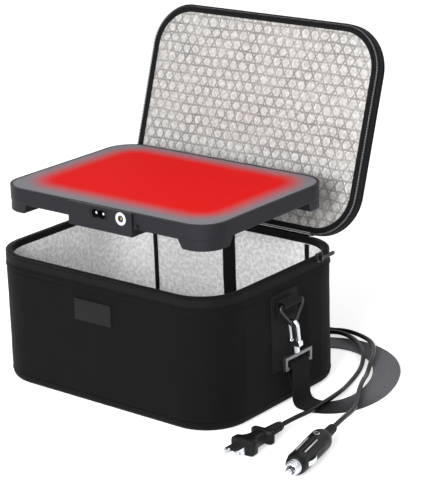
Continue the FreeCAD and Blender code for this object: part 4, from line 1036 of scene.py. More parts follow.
    def side_patches(self) -> None:
        """The sewn patch behind the strap hardware on each end."""
        for side in Side:
            sign = side.value
            work = bmesh.new()
            inner = Vector((sign * 139.4 * MM, -20 * MM, 36 * MM))
            outer = Vector((sign * 141.2 * MM, 20 * MM, 112 * MM))
            block(work, inner, outer, 0.5 * MM)
            layer = work.loops.layers.uv.verify()
            for face in work.faces:
                for loop in face.loops:
                    loop[layer].uv = (loop.vert.co.y + loop.vert.co.x, loop.vert.co.z)
            item = keep(f"side_patch_{side.word}", work, self.finishes.patch)
            settle(item, "bag", "webbing", *(["side_patches"] if side is Side.RIGHT else []))
            out = Vector((sign, 0, 0))
            lines = sew_box((-17.8 * MM, 38.2 * MM), (17.8 * MM, 109.8 * MM), sign * 141.2 * MM, out)
            settle(sew(f"patch_stitches_{side.word}", lines, self.finishes.thread), "bag", "webbing")


def zip_teeth(
    name: str, outline: Outline, height: float, material: bpy.types.Material, matrix: Matrix | None = None
) -> bpy.types.Object:
    """Make the nylon coil of one half of a zip as a row of small loops.

    Args:
        name: The piece's name.
        outline: The outline that it follows.
        height: The height of its middle in millimetres.
        material: The finish.
        matrix: Where the finished piece goes.

    Returns:
        The object.
    """
    shape = bmesh.new()
    loop = ((1.0, 0.0, -0.42), (1.0, 0.1, 0.38), (0.0, 0.35, 0.62), (-0.95, 0.4, 0.2), (-0.9, 0.5, -0.5))
    tube(shape, [Vector(point) * MM for point in loop], 0.4 * MM, 5)
    places = []
    for station in outline.walk(1.55 * MM, HINGE_HALF):
        along = Vector((-station.out.y, station.out.x, 0))
        turned = Matrix((station.out, along, Vector((0, 0, 1)))).transposed().to_4x4()
        place = Matrix.Translation(station.inside(1.25 * MM, height * MM)) @ turned
        places.append(matrix @ place if matrix else place)
    work = bmesh.new()
    sprinkle(work, shape, places)
    return keep(name, work, material)


@dataclass
class Lid:
    """The open lid: cloth, foil, bound border, its half of the zip and the cloth hinge; heights in mm."""

    finishes: "Finishes"
    border: float = 7.6
    crown: float = 2.2
    pillow: float = 0.7

    def build(self) -> None:
        """Build every piece of the lid."""
        self.cover()
        self.panel()
        self.bound_border()
        self.zip()
        self.hinge()
        dress(["lid_foam"], self.finishes.foam)

    def cover(self) -> None:
        """The outer cloth, crowned, with a piped edge."""
        profile = [(1.2, 8.9), (0.1, 8.9), (-0.15, 9.6), (-0.1, 10.6), (0.35, 11.6), (0.0, 12.0), (-0.1, 12.6)]
        profile += [(0.2, 13.3), (0.9, 13.8), (1.7, 13.7), (2.2, 13.3), (3.0, 13.5)]
        edge = ring_piece("lid_edge_cloth", LID, profile, self.finishes.oxford, matrix=LID_OPEN)
        settle(edge, "lid", "oxford", "lid_fabric")

        def crowned(point: Vector, share: float) -> float:
            """The height of the cloth at a place."""
            wrinkle = 0.4 * crumple(point, 34 * MM, 4.4) * (1 - share**6)
            return (13.5 + self.crown * (1 - share**2.4) + wrinkle) * MM

        top = panel_piece("lid_top_cloth", LID, 3 * MM, crowned, self.finishes.oxford, 22, 4 * MM, LID_OPEN)
        settle(top, "lid", "oxford")

    def panel(self) -> None:
        """The foil inside the border, slightly pillowed."""

        def pillowed(point: Vector, share: float) -> float:
            """The height of the foil at a place."""
            dent = 0.3 * crumple(point, 14 * MM, 1.2) * (1 - share**10)
            return (1.7 - self.pillow * (1 - share**8) - dent) * MM

        inset = (self.border - 0.4) * MM
        item = panel_piece("lid_foil", LID, inset, pillowed, self.finishes.lid_foil, 46, 2.5 * MM, LID_OPEN)
        settle(item, "lid", "foil", "lid_liner")

    def bound_border(self) -> None:
        """The bound border round the foil, with its stitches."""
        inner = self.border
        profile = [(2.5, 2.3), (2.5, 0.8), (3.0, 0.45), (4.0, 0.32), (inner - 1.4, 0.35), (inner - 0.5, 0.5)]
        profile += [(inner, 1.0), (inner, 2.3)]
        item = ring_piece("lid_border", LID, profile, self.finishes.binding, closed=True, matrix=LID_OPEN)
        settle(item, "lid", "binding", "lid_rim")
        out = LID_OPEN.to_3x3() @ Vector((0, 0, -1))
        spots = [LID_OPEN @ station.inside((inner - 1.3) * MM, 0.35 * MM) for station in LID.walk(6 * MM)]
        lines = [(start, end, out) for start, end in zip(spots, spots[1:])]
        settle(sew("lid_stitches", lines, self.finishes.thread), "lid", "binding")

    def zip(self) -> None:
        """The tape and the coil of the lid's half of the zip."""
        tape = [(0.8, 2.4), (0.4, 2.2), (0.0, 2.6), (-0.15, 5.5), (-0.1, 9.0), (0.8, 9.0)]
        finish = self.finishes.binding
        item = ring_piece("zip_tape_lid", LID, tape, finish, closed=True, gap=HINGE_HALF, matrix=LID_OPEN)
        settle(item, "lid", "zip", "lid_zip")
        settle(zip_teeth("zip_teeth_lid", LID, 1.25, self.finishes.zip_coil, LID_OPEN), "lid", "zip")

    def hinge(self) -> None:
        """One strip of cloth from the back of the rim to the lid, bending between the two."""
        line = [Vector((0, 104.25 * MM, height * MM)) for height in (120.6, 123, 125.5, 127.5, 128.8, 129.5)]
        line += [LID_OPEN @ Vector((0, -0.2 * MM, height * MM)) for height in (0.7, 1.6, 3, 5, 7.2, 9.4)]
        rows, coords = [], []
        for number in range(47):
            shift = Vector(((-93.5 + 187 * number / 46) * MM, 0, 0))
            rows.append([point + shift for point in line])
            coords.append([(shift.x, step * 1.6 * MM) for step in range(len(line))])
        work = bmesh.new()
        draw(work, rows, coords)
        bmesh.ops.recalc_face_normals(work, faces=work.faces)
        bmesh.ops.solidify(work, geom=work.faces[:], thickness=0.7 * MM)
        item = keep("hinge_cloth", work, self.finishes.binding)
        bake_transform(item)
        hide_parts("hinge_fabric", "lid_hinge_fabric")


# Zip sliders
@dataclass
class Sliders:
    """The two zip sliders with their flat pulls; lengths in mm."""

    finishes: "Finishes"
    pin: float = 144.9
    stop_y: float = 54.5

    def build(self) -> None:
        """Build both sides."""
        for side in Side:
            self.slider(side)
            self.pull(side)

    def slider(self, side: Side) -> None:
        """One slider: two plates, the wedge between them and the ears of the pull."""
        low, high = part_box(f"zip_slider_{side.word}")
        sign = side.value
        inner = min(abs(low.x), abs(high.x)) / MM
        middle = (low.z + high.z) / 2
        centre = self.stop_y * MM
        work = bmesh.new()
        for start, end, half_y, half_z in ((0.0, 1.15, 4.5, 4.4), (1.85, 3.0, 4.5, 4.4), (0.8, 2.2, 1.6, 4.2)):
            first = Vector((sign * (inner + start) * MM, centre - half_y * MM, middle - half_z * MM))
            last = Vector((sign * (inner + end) * MM, centre + half_y * MM, middle + half_z * MM))
            block(work, first, last, 0.4 * MM)
        for way in (-1, 1):
            height = middle + way * 2.85 * MM
            ends = (sign * (inner + 2.8) * MM, sign * self.pin * MM)
            tube(work, [Vector((x, centre, height)) for x in ends], [1.05 * MM, 0.95 * MM], 14)
        pin = [Vector((sign * self.pin * MM, centre, middle + way * 3.2 * MM)) for way in (-1, 1)]
        tube(work, pin, 0.65 * MM, 12)
        item = keep(f"slider_{side.word}", work, self.finishes.black_metal)
        settle(item, f"slider_{side.word}", "dark_metal", f"zip_slider_{side.word}")

    def pull(self, side: Side) -> None:
        """One flat pull, waisted and rounded at its end."""
        low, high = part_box(f"zip_pull_{side.word}")
        pin = Vector((side.value * self.pin * MM, self.stop_y * MM, (low.z + high.z) / 2))
        stops = ((-1.35, 1.6), (2.0, 1.9), (6.0, 1.35), (10.0, 1.6), (15.0, 2.05), (18.6, 2.0), (20.0, 1.2))
        rows = []
        for along, half in stops:
            thick = 0.6 if along > 1.9 else 1.3
            rows.append([pin + Vector((y * MM, along * MM, x * MM)) for x, y in squircle(half, thick, 4.4, 16)])
        work = bmesh.new()
        draw(work, rows, closed=True, capped=True)
        item = keep(f"pull_{side.word}", work, self.finishes.black_metal)
        settle(item, f"pull_{side.word}", "dark_metal", f"zip_pull_{side.word}")


def squircle(half_x: float, half_y: float, power: float, sides: int) -> list[tuple[float, float]]:
    """Give the points of a rounded rectangle between an ellipse and a box.

    Args:
        half_x: Half its width.
        half_y: Half its height.
        power: 2 for an ellipse, more for a squarer shape.
        sides: The number of points.

    Returns:
        The points.
    """
    points = []
    for number in range(sides):
        angle = math.tau * number / sides
        x, y = math.cos(angle), math.sin(angle)
        points.append(
            (math.copysign(abs(x) ** (2 / power), x) * half_x, math.copysign(abs(y) ** (2 / power), y) * half_y)
        )
    return points


# Strap and its hardware
@dataclass
class StrapHardware:
    """The webbing loops, rings, hooks and strap loops on both ends; lengths in mm."""

    finishes: "Finishes"
    ring: float = 148.5
    bar: float = 103.0
    width: float = 26.0

    def build(self) -> None:
        """Build both sides."""
        for side in Side:
            self.webbing_loop(side)
            dress([f"triangle_ring_{side.word}"], self.finishes.black_metal)
            dress([f"snap_hook_{side.word}", f"hook_gate_{side.word}"], self.finishes.chrome)
            dress([f"strap_loop_{side.word}"], self.finishes.dark_metal)

    def webbing_loop(self, side: Side) -> None:
        """The loop of webbing over the ring's bar, sewn to the patch with a crossed box."""
        flat = [(142.1, 88.6), (142.1, 97.0), (142.2, 103.6), (143.4, 106.4), (146.3, 106.6)]
        for number in range(9):
            angle = math.radians(100 - 27 * number)
            flat.append((self.ring + 2.95 * math.cos(angle), self.bar + 2.95 * math.sin(angle)))
        flat += [(144.9, 100.2), (143.9, 97.6), (143.75, 93.0), (143.75, 88.6)]
        points = [Vector((side.value * x * MM, 0, z * MM)) for x, z in flat]
        line = even_line(smooth_line(points, 2), 0.9 * MM)
        across = [Vector((0, side.value, 0))] * len(line)
        finish = self.finishes.webbing
        item = ribbon_piece(f"ring_webbing_{side.word}", line, across, self.width * MM, 1.45 * MM, finish)
        settle(item, "bag", "webbing", f"ring_loop_{side.word}")
        out = Vector((side.value, 0, 0))
        lines = sew_box((-11 * MM, 90 * MM), (11 * MM, 96.5 * MM), side.value * 144.5 * MM, out)
        lines += [(lines[0][0], lines[2][0], out), (lines[1][0], lines[3][0], out)]
        settle(sew(f"loop_stitches_{side.word}", lines, self.finishes.thread, 2.6 * MM), "bag", "webbing")


STRAP_ROUTE = [
    (174, 9.8),
    (185, 17),
    (192.5, 31),
    (195.5, 50),
    (194, 71),
    (186, 98),
    (172, 124),
    (153, 144),
    (128, 156.5),
    (102, 159),
    (78, 149),
    (54, 134),
    (27, 126.5),
    (0, 125),
]


@dataclass
class ShoulderStrap:
    """The flat strap from the right loop to the left one, lying on the surface behind the bag; in mm."""

    finishes: "Finishes"
    width: float = 27.0
    thick: float = 1.6
    bar: float = 39.5
    middle: float = 9.0
    lying: float = 1.02

    def drop(self) -> list[Vector]:
        """Give the strap's line round the bar of the right loop and down to the surface."""
        flat = [(149.85, 20.0), (149.7, 27.0), (147.6, 32.0), (145.4, 36.5)]
        for number in range(7):
            angle = math.radians(190 - 33 * number)
            flat.append((148.5 + 3.25 * math.cos(angle), self.bar + 3.25 * math.sin(angle)))
        flat += [(151.8, 33.0), (151.7, 22.0), (151.7, 13.5), (152.3, 6.5), (155.0, 2.2), (160.0, 1.1)]
        flat.append((166.0, self.lying))
        return [Vector((x, self.middle, z)) * MM for x, z in flat]

    def build(self) -> None:
        """Build the strap and its stitches."""
        floor = [Vector((x, y, self.lying)) * MM for x, y in STRAP_ROUTE]
        right = even_line(smooth_line(self.drop() + floor, 3), 1.6 * MM)
        line = right + [Vector((-point.x, point.y, point.z)) for point in reversed(right[:-1])]
        across = []
        for number, point in enumerate(line):
            onward = line[min(len(line) - 1, number + 1)] - line[max(0, number - 1)]
            lying = Vector((-onward.y, onward.x, 0))
            across.append(lying.normalized() if point.z < 1.3 * MM else Vector((0, 1 if point.x > 0 else -1, 0)))
        item = ribbon_piece("carry_strap", line, across, self.width * MM, self.thick * MM, self.finishes.strap)
        settle(item, "bag", "webbing", "shoulder_strap")
        lines = []
        for sign in (side.value for side in Side):
            for height in (22.5 * MM, 26.5 * MM):
                ends = [Vector((sign * 152.65 * MM, y * MM, height)) for y in (-3, 21)]
                lines.append((*ends, Vector((sign, 0, 0))))
        settle(sew("strap_stitches", lines, self.finishes.thread, 2.8 * MM), "bag", "webbing")


# Heating plate
@dataclass
class HeatingPlate:
    """The lifted plate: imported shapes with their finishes, and the moulded feet at its corners; in mm."""

    finishes: "Finishes"
    half_x: float = 129.0
    half_y: float = 93.0
    corner: float = 28.0
    foot: float = 36.0
    foot_top: float = 180.0
    foot_low: float = 170.2

    def build(self) -> None:
        """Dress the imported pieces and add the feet."""
        finishes = self.finishes
        dress(["plate_housing", "bottom_cover"], finishes.housing)
        dress(["plate_top"], finishes.hot_plate)
        dress(["mains_inlet"], finishes.plug)
        dress(["inlet_pins", "dc_jack", "cover_screws"], finishes.chrome)
        dress(["dc_jack_pin"], finishes.brass)
        dress(["foot_pads"], finishes.pads)
        dress(["heater_film"], finishes.film)
        dress(["insulation_pad"], finishes.insulation)
        dress(["thermostat", "thermal_fuse"], finishes.chrome)
        dress(["inner_wires"], finishes.cord)
        self.feet()

    def feet(self) -> None:
        """Four feet that carry the rounded corners of the housing down to the pads."""
        work = bmesh.new()
        inset = 0.5
        for sign_x in (-1, 1):
            for sign_y in (-1, 1):
                hub_x, hub_y = self.half_x - self.corner, self.half_y - self.corner
                radius = self.corner - inset
                flat = [(self.half_x - self.foot, hub_y + radius), (self.half_x - self.foot, self.half_y - self.foot)]
                flat.append((hub_x + radius, self.half_y - self.foot))
                turns = [math.pi / 2 * number / 10 for number in range(11)]
                flat += [(hub_x + radius * math.cos(angle), hub_y + radius * math.sin(angle)) for angle in turns]
                verts = [work.verts.new(Vector((sign_x * x, sign_y * y, self.foot_top)) * MM) for x, y in flat]
                face = bmesh.ops.contextual_create(work, geom=verts)["faces"]
                made = bmesh.ops.extrude_face_region(work, geom=face)["geom"]
                lower = [part for part in made if isinstance(part, bmesh.types.BMVert)]
                bmesh.ops.translate(work, vec=(0, 0, (self.foot_low - self.foot_top) * MM), verts=lower)
                tip = Vector((sign_x * (hub_x + radius * 0.8), sign_y * (hub_y + radius * 0.8), 0)) * MM
                bmesh.ops.scale(work, vec=(0.84, 0.84, 1), space=Matrix.Translation(-tip), verts=lower)
                bottom = [part for part in made if isinstance(part, bmesh.types.BMFace)]
                rim = list({edge for face in bottom for edge in face.edges})
                bmesh.ops.bevel(work, geom=rim, offset=1.2 * MM, segments=3, profile=0.5, material=-1, affect="EDGES")
        settle(keep("plate_feet", work, self.finishes.housing), "plate", "housing")


# Leads
AC_ROUTE = [
    (46, 156, 2.3),
    (62, 165, 2.3),
    (80, 171, 6.2),
    (108, 163, 6.2),
    (136, 136, 6.2),
    (148, 115, 2.3),
    (157, 93, 2.3),
    (165, 66, 2.3),
    (175, 37, 6.2),
    (178, -12, 6.2),
]
CAR_ROUTE = [
    (-32, 243, 2.3),
    (-7, 234, 2.3),
    (17, 220.5, 2.3),
    (38, 203, 2.3),
    (48, 186, 2.3),
    (63, 177.5, 2.3),
    (85, 178, 6.2),
    (108, 174, 6.2),
    (129, 163, 6.2),
    (145, 140, 6.2),
    (157, 116, 6.2),
    (166, 97, 2.3),
    (175, 77, 6.2),
    (188, 51, 6.2),
    (206, 21, 6.2),
    (212, 2, 7.5),
]


@dataclass(frozen=True)
class CoilPlan:
    """A wound stretch of cord: where it is, which way it starts and its sizes."""

    middle: Vector
    side: Vector
    heading: Vector
    radius: float = 33.6 * MM
    pitch: float = 5.1 * MM
    thick: float = 4.6 * MM
    tail: float = 22 * MM
    half_turns_in: int = 6
    half_turns_out: int = 5
    steps: int = 8

    def points(self) -> list[Vector]:
        """Give the control points from the free end of the top layer to the exit of the bottom one."""
        up = Vector((0, 0, 1))
        point = self.middle + self.side * (self.radius + self.pitch / 4) + up * self.thick / 2
        line = [point - self.heading * self.thick]
        way, onward = self.side, self.heading
        height = 0.0
        for number in range(self.half_turns_in + 1 + self.half_turns_out):
            wound = number if number <= self.half_turns_in else 2 * self.half_turns_in - number
            bend = self.radius - self.pitch / 2 * wound
            hub = point - way * bend
            step = math.pi / self.steps
            for count in range(self.steps):
                angle = step * (count + 0.5)
                spot = hub + (way * math.cos(angle) + onward * math.sin(angle)) * bend / math.cos(step / 2)
                if number == self.half_turns_in:
                    share = angle / math.pi
                    height = self.pitch * (share - math.sin(math.tau * share) / math.tau)
                line.append(Vector((spot.x, spot.y, self.thick / 2 + height)))
            if number == self.half_turns_in:
                height = self.pitch
            point = hub - way * bend
            way, onward = -way, -onward
        point.z = self.thick / 2 + height
        line += [point + onward * self.tail * share for share in (0.5, 1.0)]
        return line[::-1]


@dataclass
class Lead:
    """What both leads share: the cord from its coil to its plug."""

    finishes: "Finishes"
    thick: float = 4.6 * MM

    def standing(self, start: Vector, heading: Vector) -> Matrix:
        """Give the place of a piece that is built along Z and leaves a point along a level heading."""
        up = Vector((0, 0, 1))
        turned = Matrix((up.cross(heading), up, heading)).transposed().to_4x4()
        return Matrix.Translation(start) @ turned

    def cord_curve(self, name: str, points: Row) -> bpy.types.Object:
        """Make a round cord on one open NURBS spline.

        Args:
            name: The piece's name.
            points: The control points.

        Returns:
            The curve object.
        """
        curve = bpy.data.curves.new(name, "CURVE")
        curve.dimensions = "3D"
        spline = curve.splines.new("NURBS")
        spline.points.add(len(points) - 1)
        for target, point in zip(spline.points, points):
            target.co = (*point, 1.0)
        spline.order_u = 3
        spline.use_endpoint_u = True
        spline.resolution_u = 6
        curve.bevel_depth = self.thick / 2
        curve.bevel_resolution = 4
        curve.use_fill_caps = True
        curve.materials.append(self.finishes.cord)
        item = bpy.data.objects.new(name, curve)
        bpy.context.scene.collection.objects.link(item)
        LOG.info("cord %s: %d points", name, len(points))
        return item


@dataclass
class MainsLead(Lead):
    """The mains lead: coil, cord, flat two-blade plug and figure-of-eight connector."""

    start: Vector = Vector((177.3, -57, 7.8)) * MM
    heading: Vector = Vector((0, -1, 0))

    def build(self) -> None:
        """Build the lead."""
        coil = CoilPlan(Vector((2, 182, 0)) * MM, Vector((0, -1, 0)), Vector((-1, 0, 0)))
        points = coil.points() + [Vector((27.6, 147.125, 2.3)) * MM]
        points += [Vector(spot) * MM for spot in AC_ROUTE]
        points += [self.start - self.heading * 21 * MM, self.start + self.heading * 2 * MM]
        cord = settle(self.cord_curve("mains_cord", points), "bag", "cord", "ac_cord", "ac_cord_coil")
        pieces = [self.sleeve(), self.plug(), self.blades(), "ac_connector"]
        dress(["ac_connector"], self.finishes.plug)

    def sleeve(self) -> bpy.types.Object:
        """The strain relief of stacked rings that thickens towards the plug."""
        profile = [(0.0, 2.2), (0.0, 3.5), (0.5, 3.9)]
        for number in range(5):
            low, wide = 2.6 + number * 4.3, 4.2 + 0.14 * number
            profile += [(low - 0.5, wide - 0.5), (low, wide + 0.1), (low + 0.6, wide + 0.5), (low + 2.8, wide + 0.5)]
            profile += [(low + 3.3, wide + 0.1)]
        profile += [(25.4, 4.9), (25.4, 0.0)]
        work = bmesh.new()
        turn(work, profile, self.standing(self.start, self.heading), 36)
        return settle(keep("mains_sleeve", work, self.finishes.plug), "bag", "plug")

    def plug(self) -> bpy.types.Object:
        """The plug body: a thin finger flange, a waist and a wide face for the blades."""
        place = self.standing(self.start, self.heading)
        stops = [
            (24.6, 9.6, 5.4, 4.0),
            (25.0, 11.6, 6.6, 5.0),
            (25.6, 12.2, 7.1, 5.0),
            (28.4, 12.2, 7.1, 5.0),
            (29.1, 11.4, 6.7, 5.0),
            (29.6, 8.4, 5.9, 4.0),
            (31.0, 6.9, 5.9, 3.4),
            (37.0, 6.6, 6.2, 3.4),
            (43.0, 7.6, 6.6, 3.6),
            (47.5, 9.6, 7.0, 4.0),
            (49.4, 11.6, 7.3, 5.0),
            (50.4, 12.3, 7.7, 6.0),
            (56.6, 12.5, 7.8, 6.0),
            (57.6, 12.1, 7.4, 6.0),
            (58.0, 11.3, 6.8, 5.0),
        ]
        rows = []
        for along, half_x, half_y, power in stops:
            rows.append([place @ (Vector((x, y, along)) * MM) for x, y in squircle(half_x, half_y, power, 56)])
        work = bmesh.new()
        draw(work, rows, closed=True, capped=True)
        return settle(keep("mains_plug", work, self.finishes.plug), "bag", "plug", "ac_plug_body")

    def blades(self) -> bpy.types.Object:
        """The two flat blades with their holes and clipped tips."""
        place = self.standing(self.start, self.heading)
        work = bmesh.new()
        tip = [(-3.15, 56.0), (3.15, 56.0), (3.15, 73.2), (2.0, 75.0), (-2.0, 75.0), (-3.15, 73.2)]
        hole = [(1.6 * math.cos(math.tau * n / 20), 69.2 + 1.6 * math.sin(math.tau * n / 20)) for n in range(20)]
        for side in (-1, 1):
            edges = []
            for ring in (tip, hole):
                verts = [work.verts.new(place @ (Vector((side * 6.35 - 0.75, y, z)) * MM)) for y, z in ring]
                edges += [work.edges.new(pair) for pair in zip(verts, verts[1:] + verts[:1])]
            filled = bmesh.ops.triangle_fill(work, use_beauty=True, edges=edges)["geom"]
            faces = [part for part in filled if isinstance(part, bmesh.types.BMFace)]
            made = bmesh.ops.extrude_face_region(work, geom=faces)["geom"]
            verts = [part for part in made if isinstance(part, bmesh.types.BMVert)]
            bmesh.ops.translate(work, vec=place.to_3x3() @ Vector((1.5 * MM, 0, 0)), verts=verts)
        return settle(keep("mains_blades", work, self.finishes.chrome, smooth=False), "bag", "steel", "ac_plug_blades")


@dataclass
class CarLead(Lead):
    """The car lead: coil, cord, round plug with its nose, tip and side springs, and barrel connector."""

    start: Vector = Vector((222.5, -39, 10.5)) * MM
    heading: Vector = Vector((math.sin(math.radians(13.2)), -math.cos(math.radians(13.2)), 0))

    def build(self) -> None:
        """Build the lead."""
        coil = CoilPlan(Vector((-84, 212, 0)) * MM, Vector((0, 1, 0)), Vector((-1, 0, 0)))
        points = coil.points() + [Vector((-58.4, 246.875, 2.3)) * MM]
        points += [Vector(spot) * MM for spot in CAR_ROUTE]
        points += [self.start - self.heading * 21 * MM, self.start + self.heading * 14 * MM]
        cord = settle(self.cord_curve("car_cord_line", points), "bag", "cord", "car_cord", "car_cord_coil")
        pieces = [self.body(), self.trim(), self.nose(), self.tip(), self.springs(), "car_fuse", "dc_connector"]
        dress(["car_fuse"], self.finishes.rib)
        dress(["dc_connector"], self.finishes.plug)

    def body(self) -> bpy.types.Object:
        """The moulded grip with its strain relief and grooved flanks."""
        profile = [(0.0, 2.2), (0.0, 3.4), (0.5, 3.7)]
        for number in range(4):
            low, wide = 2.0 + number * 4.6, 3.7 + 0.25 * number
            profile += [(low, wide), (low + 0.5, wide + 0.6), (low + 2.9, wide + 0.65), (low + 3.4, wide + 0.1)]
        profile += [(20.8, 5.0), (22.0, 5.6), (23.2, 7.2), (25.5, 9.0), (28.0, 10.0), (31.0, 10.4)]
        profile += [(34.0 + 1.5 * number, 10.5 - 0.01 * number) for number in range(32)]
        profile += [(83.0, 10.0), (86.0, 9.5), (88.6, 8.7), (89.4, 7.8), (89.4, 3.4)]
        work = bmesh.new()
        verts = turn(work, profile, Matrix(), 112)
        for vert in verts:
            height = vert.co.z / MM
            share = max(0.0, min(1.0, (height - 46) / 3, (81 - height) / 3))
            groove = 0.5 + 0.5 * math.cos(math.atan2(vert.co.y, vert.co.x) * 14)
            scale = 1.0 - 0.07 * share * groove**4
            vert.co.x *= scale
            vert.co.y *= scale
        bmesh.ops.transform(work, matrix=self.standing(self.start, self.heading), verts=work.verts)
        return settle(keep("car_grip", work, self.finishes.plug), "bag", "plug", "car_plug_body")

    def trim(self) -> bpy.types.Object:
        """The bright ribs along the flanks and the rim of the lamp well on top."""
        place = self.standing(self.start, self.heading)
        work = bmesh.new()
        for angle in (62, 112):
            way = Vector((math.cos(math.radians(angle)), math.sin(math.radians(angle)), 0))
            stops = ((9.4, 48), (10.1, 50), (10.0, 76), (9.2, 78))
            rib = [place @ ((way * out + Vector((0, 0, along))) * MM) for out, along in stops]
            tube(work, rib, [0.4 * MM, 0.75 * MM, 0.75 * MM, 0.4 * MM], 10)
        well = place @ Matrix.Translation((0, 9.7 * MM, 39 * MM)) @ Matrix.Rotation(math.radians(-90), 4, "X")
        turn(work, [(0.0, 3.0), (0.95, 2.9), (1.1, 2.6), (0.95, 2.3), (0.0, 2.2)], well, 28, closed=True)
        return settle(keep("car_grip_trim", work, self.finishes.rib), "bag", "steel")

    def nose(self) -> bpy.types.Object:
        """The bright screw ring that holds the tip."""
        profile = [(86.0, 3.5), (86.0, 6.9), (90.6, 7.1), (91.4, 6.5), (92.1, 6.9), (94.0, 6.7), (94.6, 6.1)]
        profile += [(95.3, 6.3), (96.6, 5.8), (97.2, 4.8), (96.9, 4.0), (95.6, 3.8)]
        work = bmesh.new()
        turn(work, profile, self.standing(self.start, self.heading), 56, closed=True)
        return settle(keep("car_nose_ring", work, self.finishes.chrome), "bag", "steel", "car_plug_nose")

    def tip(self) -> bpy.types.Object:
        """The sprung tip with its rounded end."""
        profile = [(88.0, 0.0), (88.0, 2.3), (99.4, 2.3), (100.2, 2.9), (102.0, 3.0), (103.6, 2.5), (104.6, 1.5)]
        profile.append((105.0, 0.0))
        work = bmesh.new()
        turn(work, profile, self.standing(self.start, self.heading), 32)
        return settle(keep("car_tip_stud", work, self.finishes.chrome), "car_tip", "steel", "car_plug_tip")

    def springs(self) -> bpy.types.Object:
        """The two bowed side springs."""
        place = self.standing(self.start, self.heading)
        work = bmesh.new()
        for side in (-1, 1):
            rows = []
            for number in range(15):
                share = number / 14
                out = 9.7 + 2.1 * math.sin(math.pi * share) ** 0.8
                section = ((0.3, -2.2), (0.3, 2.2), (-0.3, 2.2), (-0.3, -2.2))
                along = 62 + 19 * share
                rows.append([place @ (Vector((side * (out + deep), wide, along)) * MM) for deep, wide in section])
            draw(work, rows, closed=True, capped=True)
        return settle(keep("car_side_springs", work, self.finishes.chrome), "bag", "steel", "car_side_contacts")


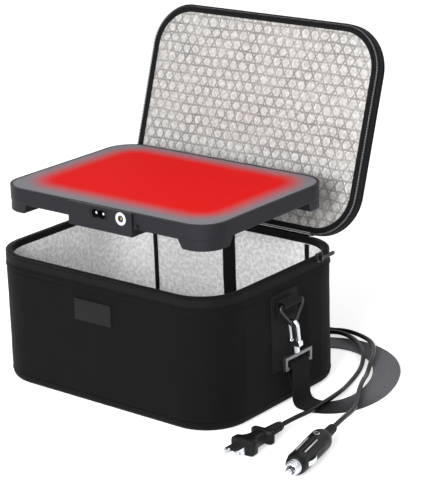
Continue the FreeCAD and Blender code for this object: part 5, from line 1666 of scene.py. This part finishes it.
# Camera, light and floor
@dataclass
class Studio:
    """The camera at the photograph's angle, soft light and a plain pale floor."""

    azimuth: float = 39.1
    rise: float = 18.2
    roll: float = -1.8
    pixels: float = 1908.4
    frame_height: int = 495
    eye: Vector = Vector((1.1389, -1.3233, 0.7013))

    def build(self) -> None:
        """Set up everything that isn't part of the object."""
        self.camera()
        self.floor()
        self.lights()
        self.world()
        bpy.context.scene.view_settings.view_transform = "Standard"

    def camera(self) -> None:
        """The camera, fitted to the outlines in the photograph."""
        azimuth, rise, roll = (math.radians(part) for part in (self.azimuth, self.rise, self.roll))
        back = Vector((math.sin(azimuth) * math.cos(rise), -math.cos(azimuth) * math.cos(rise), math.sin(rise)))
        right = Vector((math.cos(azimuth), math.sin(azimuth), 0))
        up = back.cross(right)
        turned = (right * math.cos(roll) + up * math.sin(roll), up * math.cos(roll) - right * math.sin(roll), back)
        lens = bpy.data.cameras.new("camera")
        lens.sensor_width = 36
        lens.lens = self.pixels * lens.sensor_width / self.frame_height
        lens.clip_start = 0.05
        lens.clip_end = 50
        item = bpy.data.objects.new("camera", lens)
        item.matrix_world = Matrix.Translation(self.eye) @ Matrix(turned).transposed().to_4x4()
        bpy.context.scene.collection.objects.link(item)
        bpy.context.scene.camera = item

    def backdrop_share(self, tree: bpy.types.NodeTree) -> bpy.types.NodeSocket:
        """Give 1 for rays that show the backdrop: from the camera, a mirror or glass."""
        path = add(tree, "ShaderNodeLightPath")
        seen = path.outputs["Is Camera Ray"]
        for name in ("Is Glossy Ray", "Is Transmission Ray"):
            seen = add(tree, "ShaderNodeMath", {0: seen, 1: path.outputs[name]}, operation="MAXIMUM").outputs[0]
        return seen

    def floor(self) -> None:
        """A wide plain floor that keeps the object's shadow and is white elsewhere."""
        work = bmesh.new()
        bmesh.ops.create_grid(work, x_segments=2, y_segments=2, size=15.0)
        bmesh.ops.translate(work, vec=(0, 0, -0.0002), verts=work.verts)
        shading = Shading("studio_floor")
        shading.set(Base_Color=linear("f7f7f7"), Roughness=0.9, Specular_IOR_Level=0.1)
        lift = shading.math("MULTIPLY", self.backdrop_share(shading.tree), 0.5)
        shading.set(Emission_Color=linear("ffffff"), Emission_Strength=lift)
        item = keep("studio_floor", work, shading.finish(), smooth=False)

    def lights(self) -> None:
        """Four large soft lights, the last low enough to reach the inside of the bag."""
        plans = (
            ("key", Vector((-0.5, -1.9, 2.3)), 1.0, 8.0),
            ("side", Vector((2.0, -1.0, 1.2)), 1.2, 6.0),
            ("back", Vector((0.5, 2.0, 1.8)), 1.2, 7.0),
            ("front", Vector((0.55, -1.75, 0.72)), 0.8, 46.0),
        )
        for name, place, size, power in plans:
            lamp = bpy.data.lights.new(name, "AREA")
            lamp.energy = power
            lamp.size = size
            item = bpy.data.objects.new(name, lamp)
            aim = (Vector((0, 0, 0.1)) - place).to_track_quat("-Z", "Y")
            item.matrix_world = Matrix.Translation(place) @ aim.to_matrix().to_4x4()
            bpy.context.scene.collection.objects.link(item)

    def world(self) -> None:
        """White surroundings, pure white where the camera, metal or glass shows them."""
        world = bpy.data.worlds.new("studio_world")
        bpy.context.scene.world = world
        world.use_nodes = True
        tree = world.node_tree
        tree.nodes.clear()
        soft = add(tree, "ShaderNodeBackground", {"Color": linear("ffffff"), "Strength": 0.5})
        seen = add(tree, "ShaderNodeBackground", {"Color": linear("ffffff"), "Strength": 1.0})
        inputs = {0: self.backdrop_share(tree), 1: soft.outputs[0], 2: seen.outputs[0]}
        mixed = add(tree, "ShaderNodeMixShader", inputs)
        add(tree, "ShaderNodeOutputWorld", {"Surface": mixed.outputs[0]})


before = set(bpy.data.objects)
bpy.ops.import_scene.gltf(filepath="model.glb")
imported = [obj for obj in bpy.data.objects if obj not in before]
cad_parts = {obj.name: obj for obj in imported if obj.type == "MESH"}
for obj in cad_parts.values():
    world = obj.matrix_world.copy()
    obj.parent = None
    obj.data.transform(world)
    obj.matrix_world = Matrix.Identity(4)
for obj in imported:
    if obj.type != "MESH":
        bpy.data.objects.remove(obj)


def main() -> None:
    """Build the whole scene."""
    logging.basicConfig(level=logging.INFO, format="%(name)s: %(message)s")
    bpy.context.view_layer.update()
    finishes = Finishes()
    Studio().build()
    for part in (MainsLead, CarLead, BagShell, Lid, Sliders, StrapHardware, ShoulderStrap, HeatingPlate):
        LOG.info("building %s", part.__name__)
        part(finishes).build()


if __name__ == "__main__":
    main()
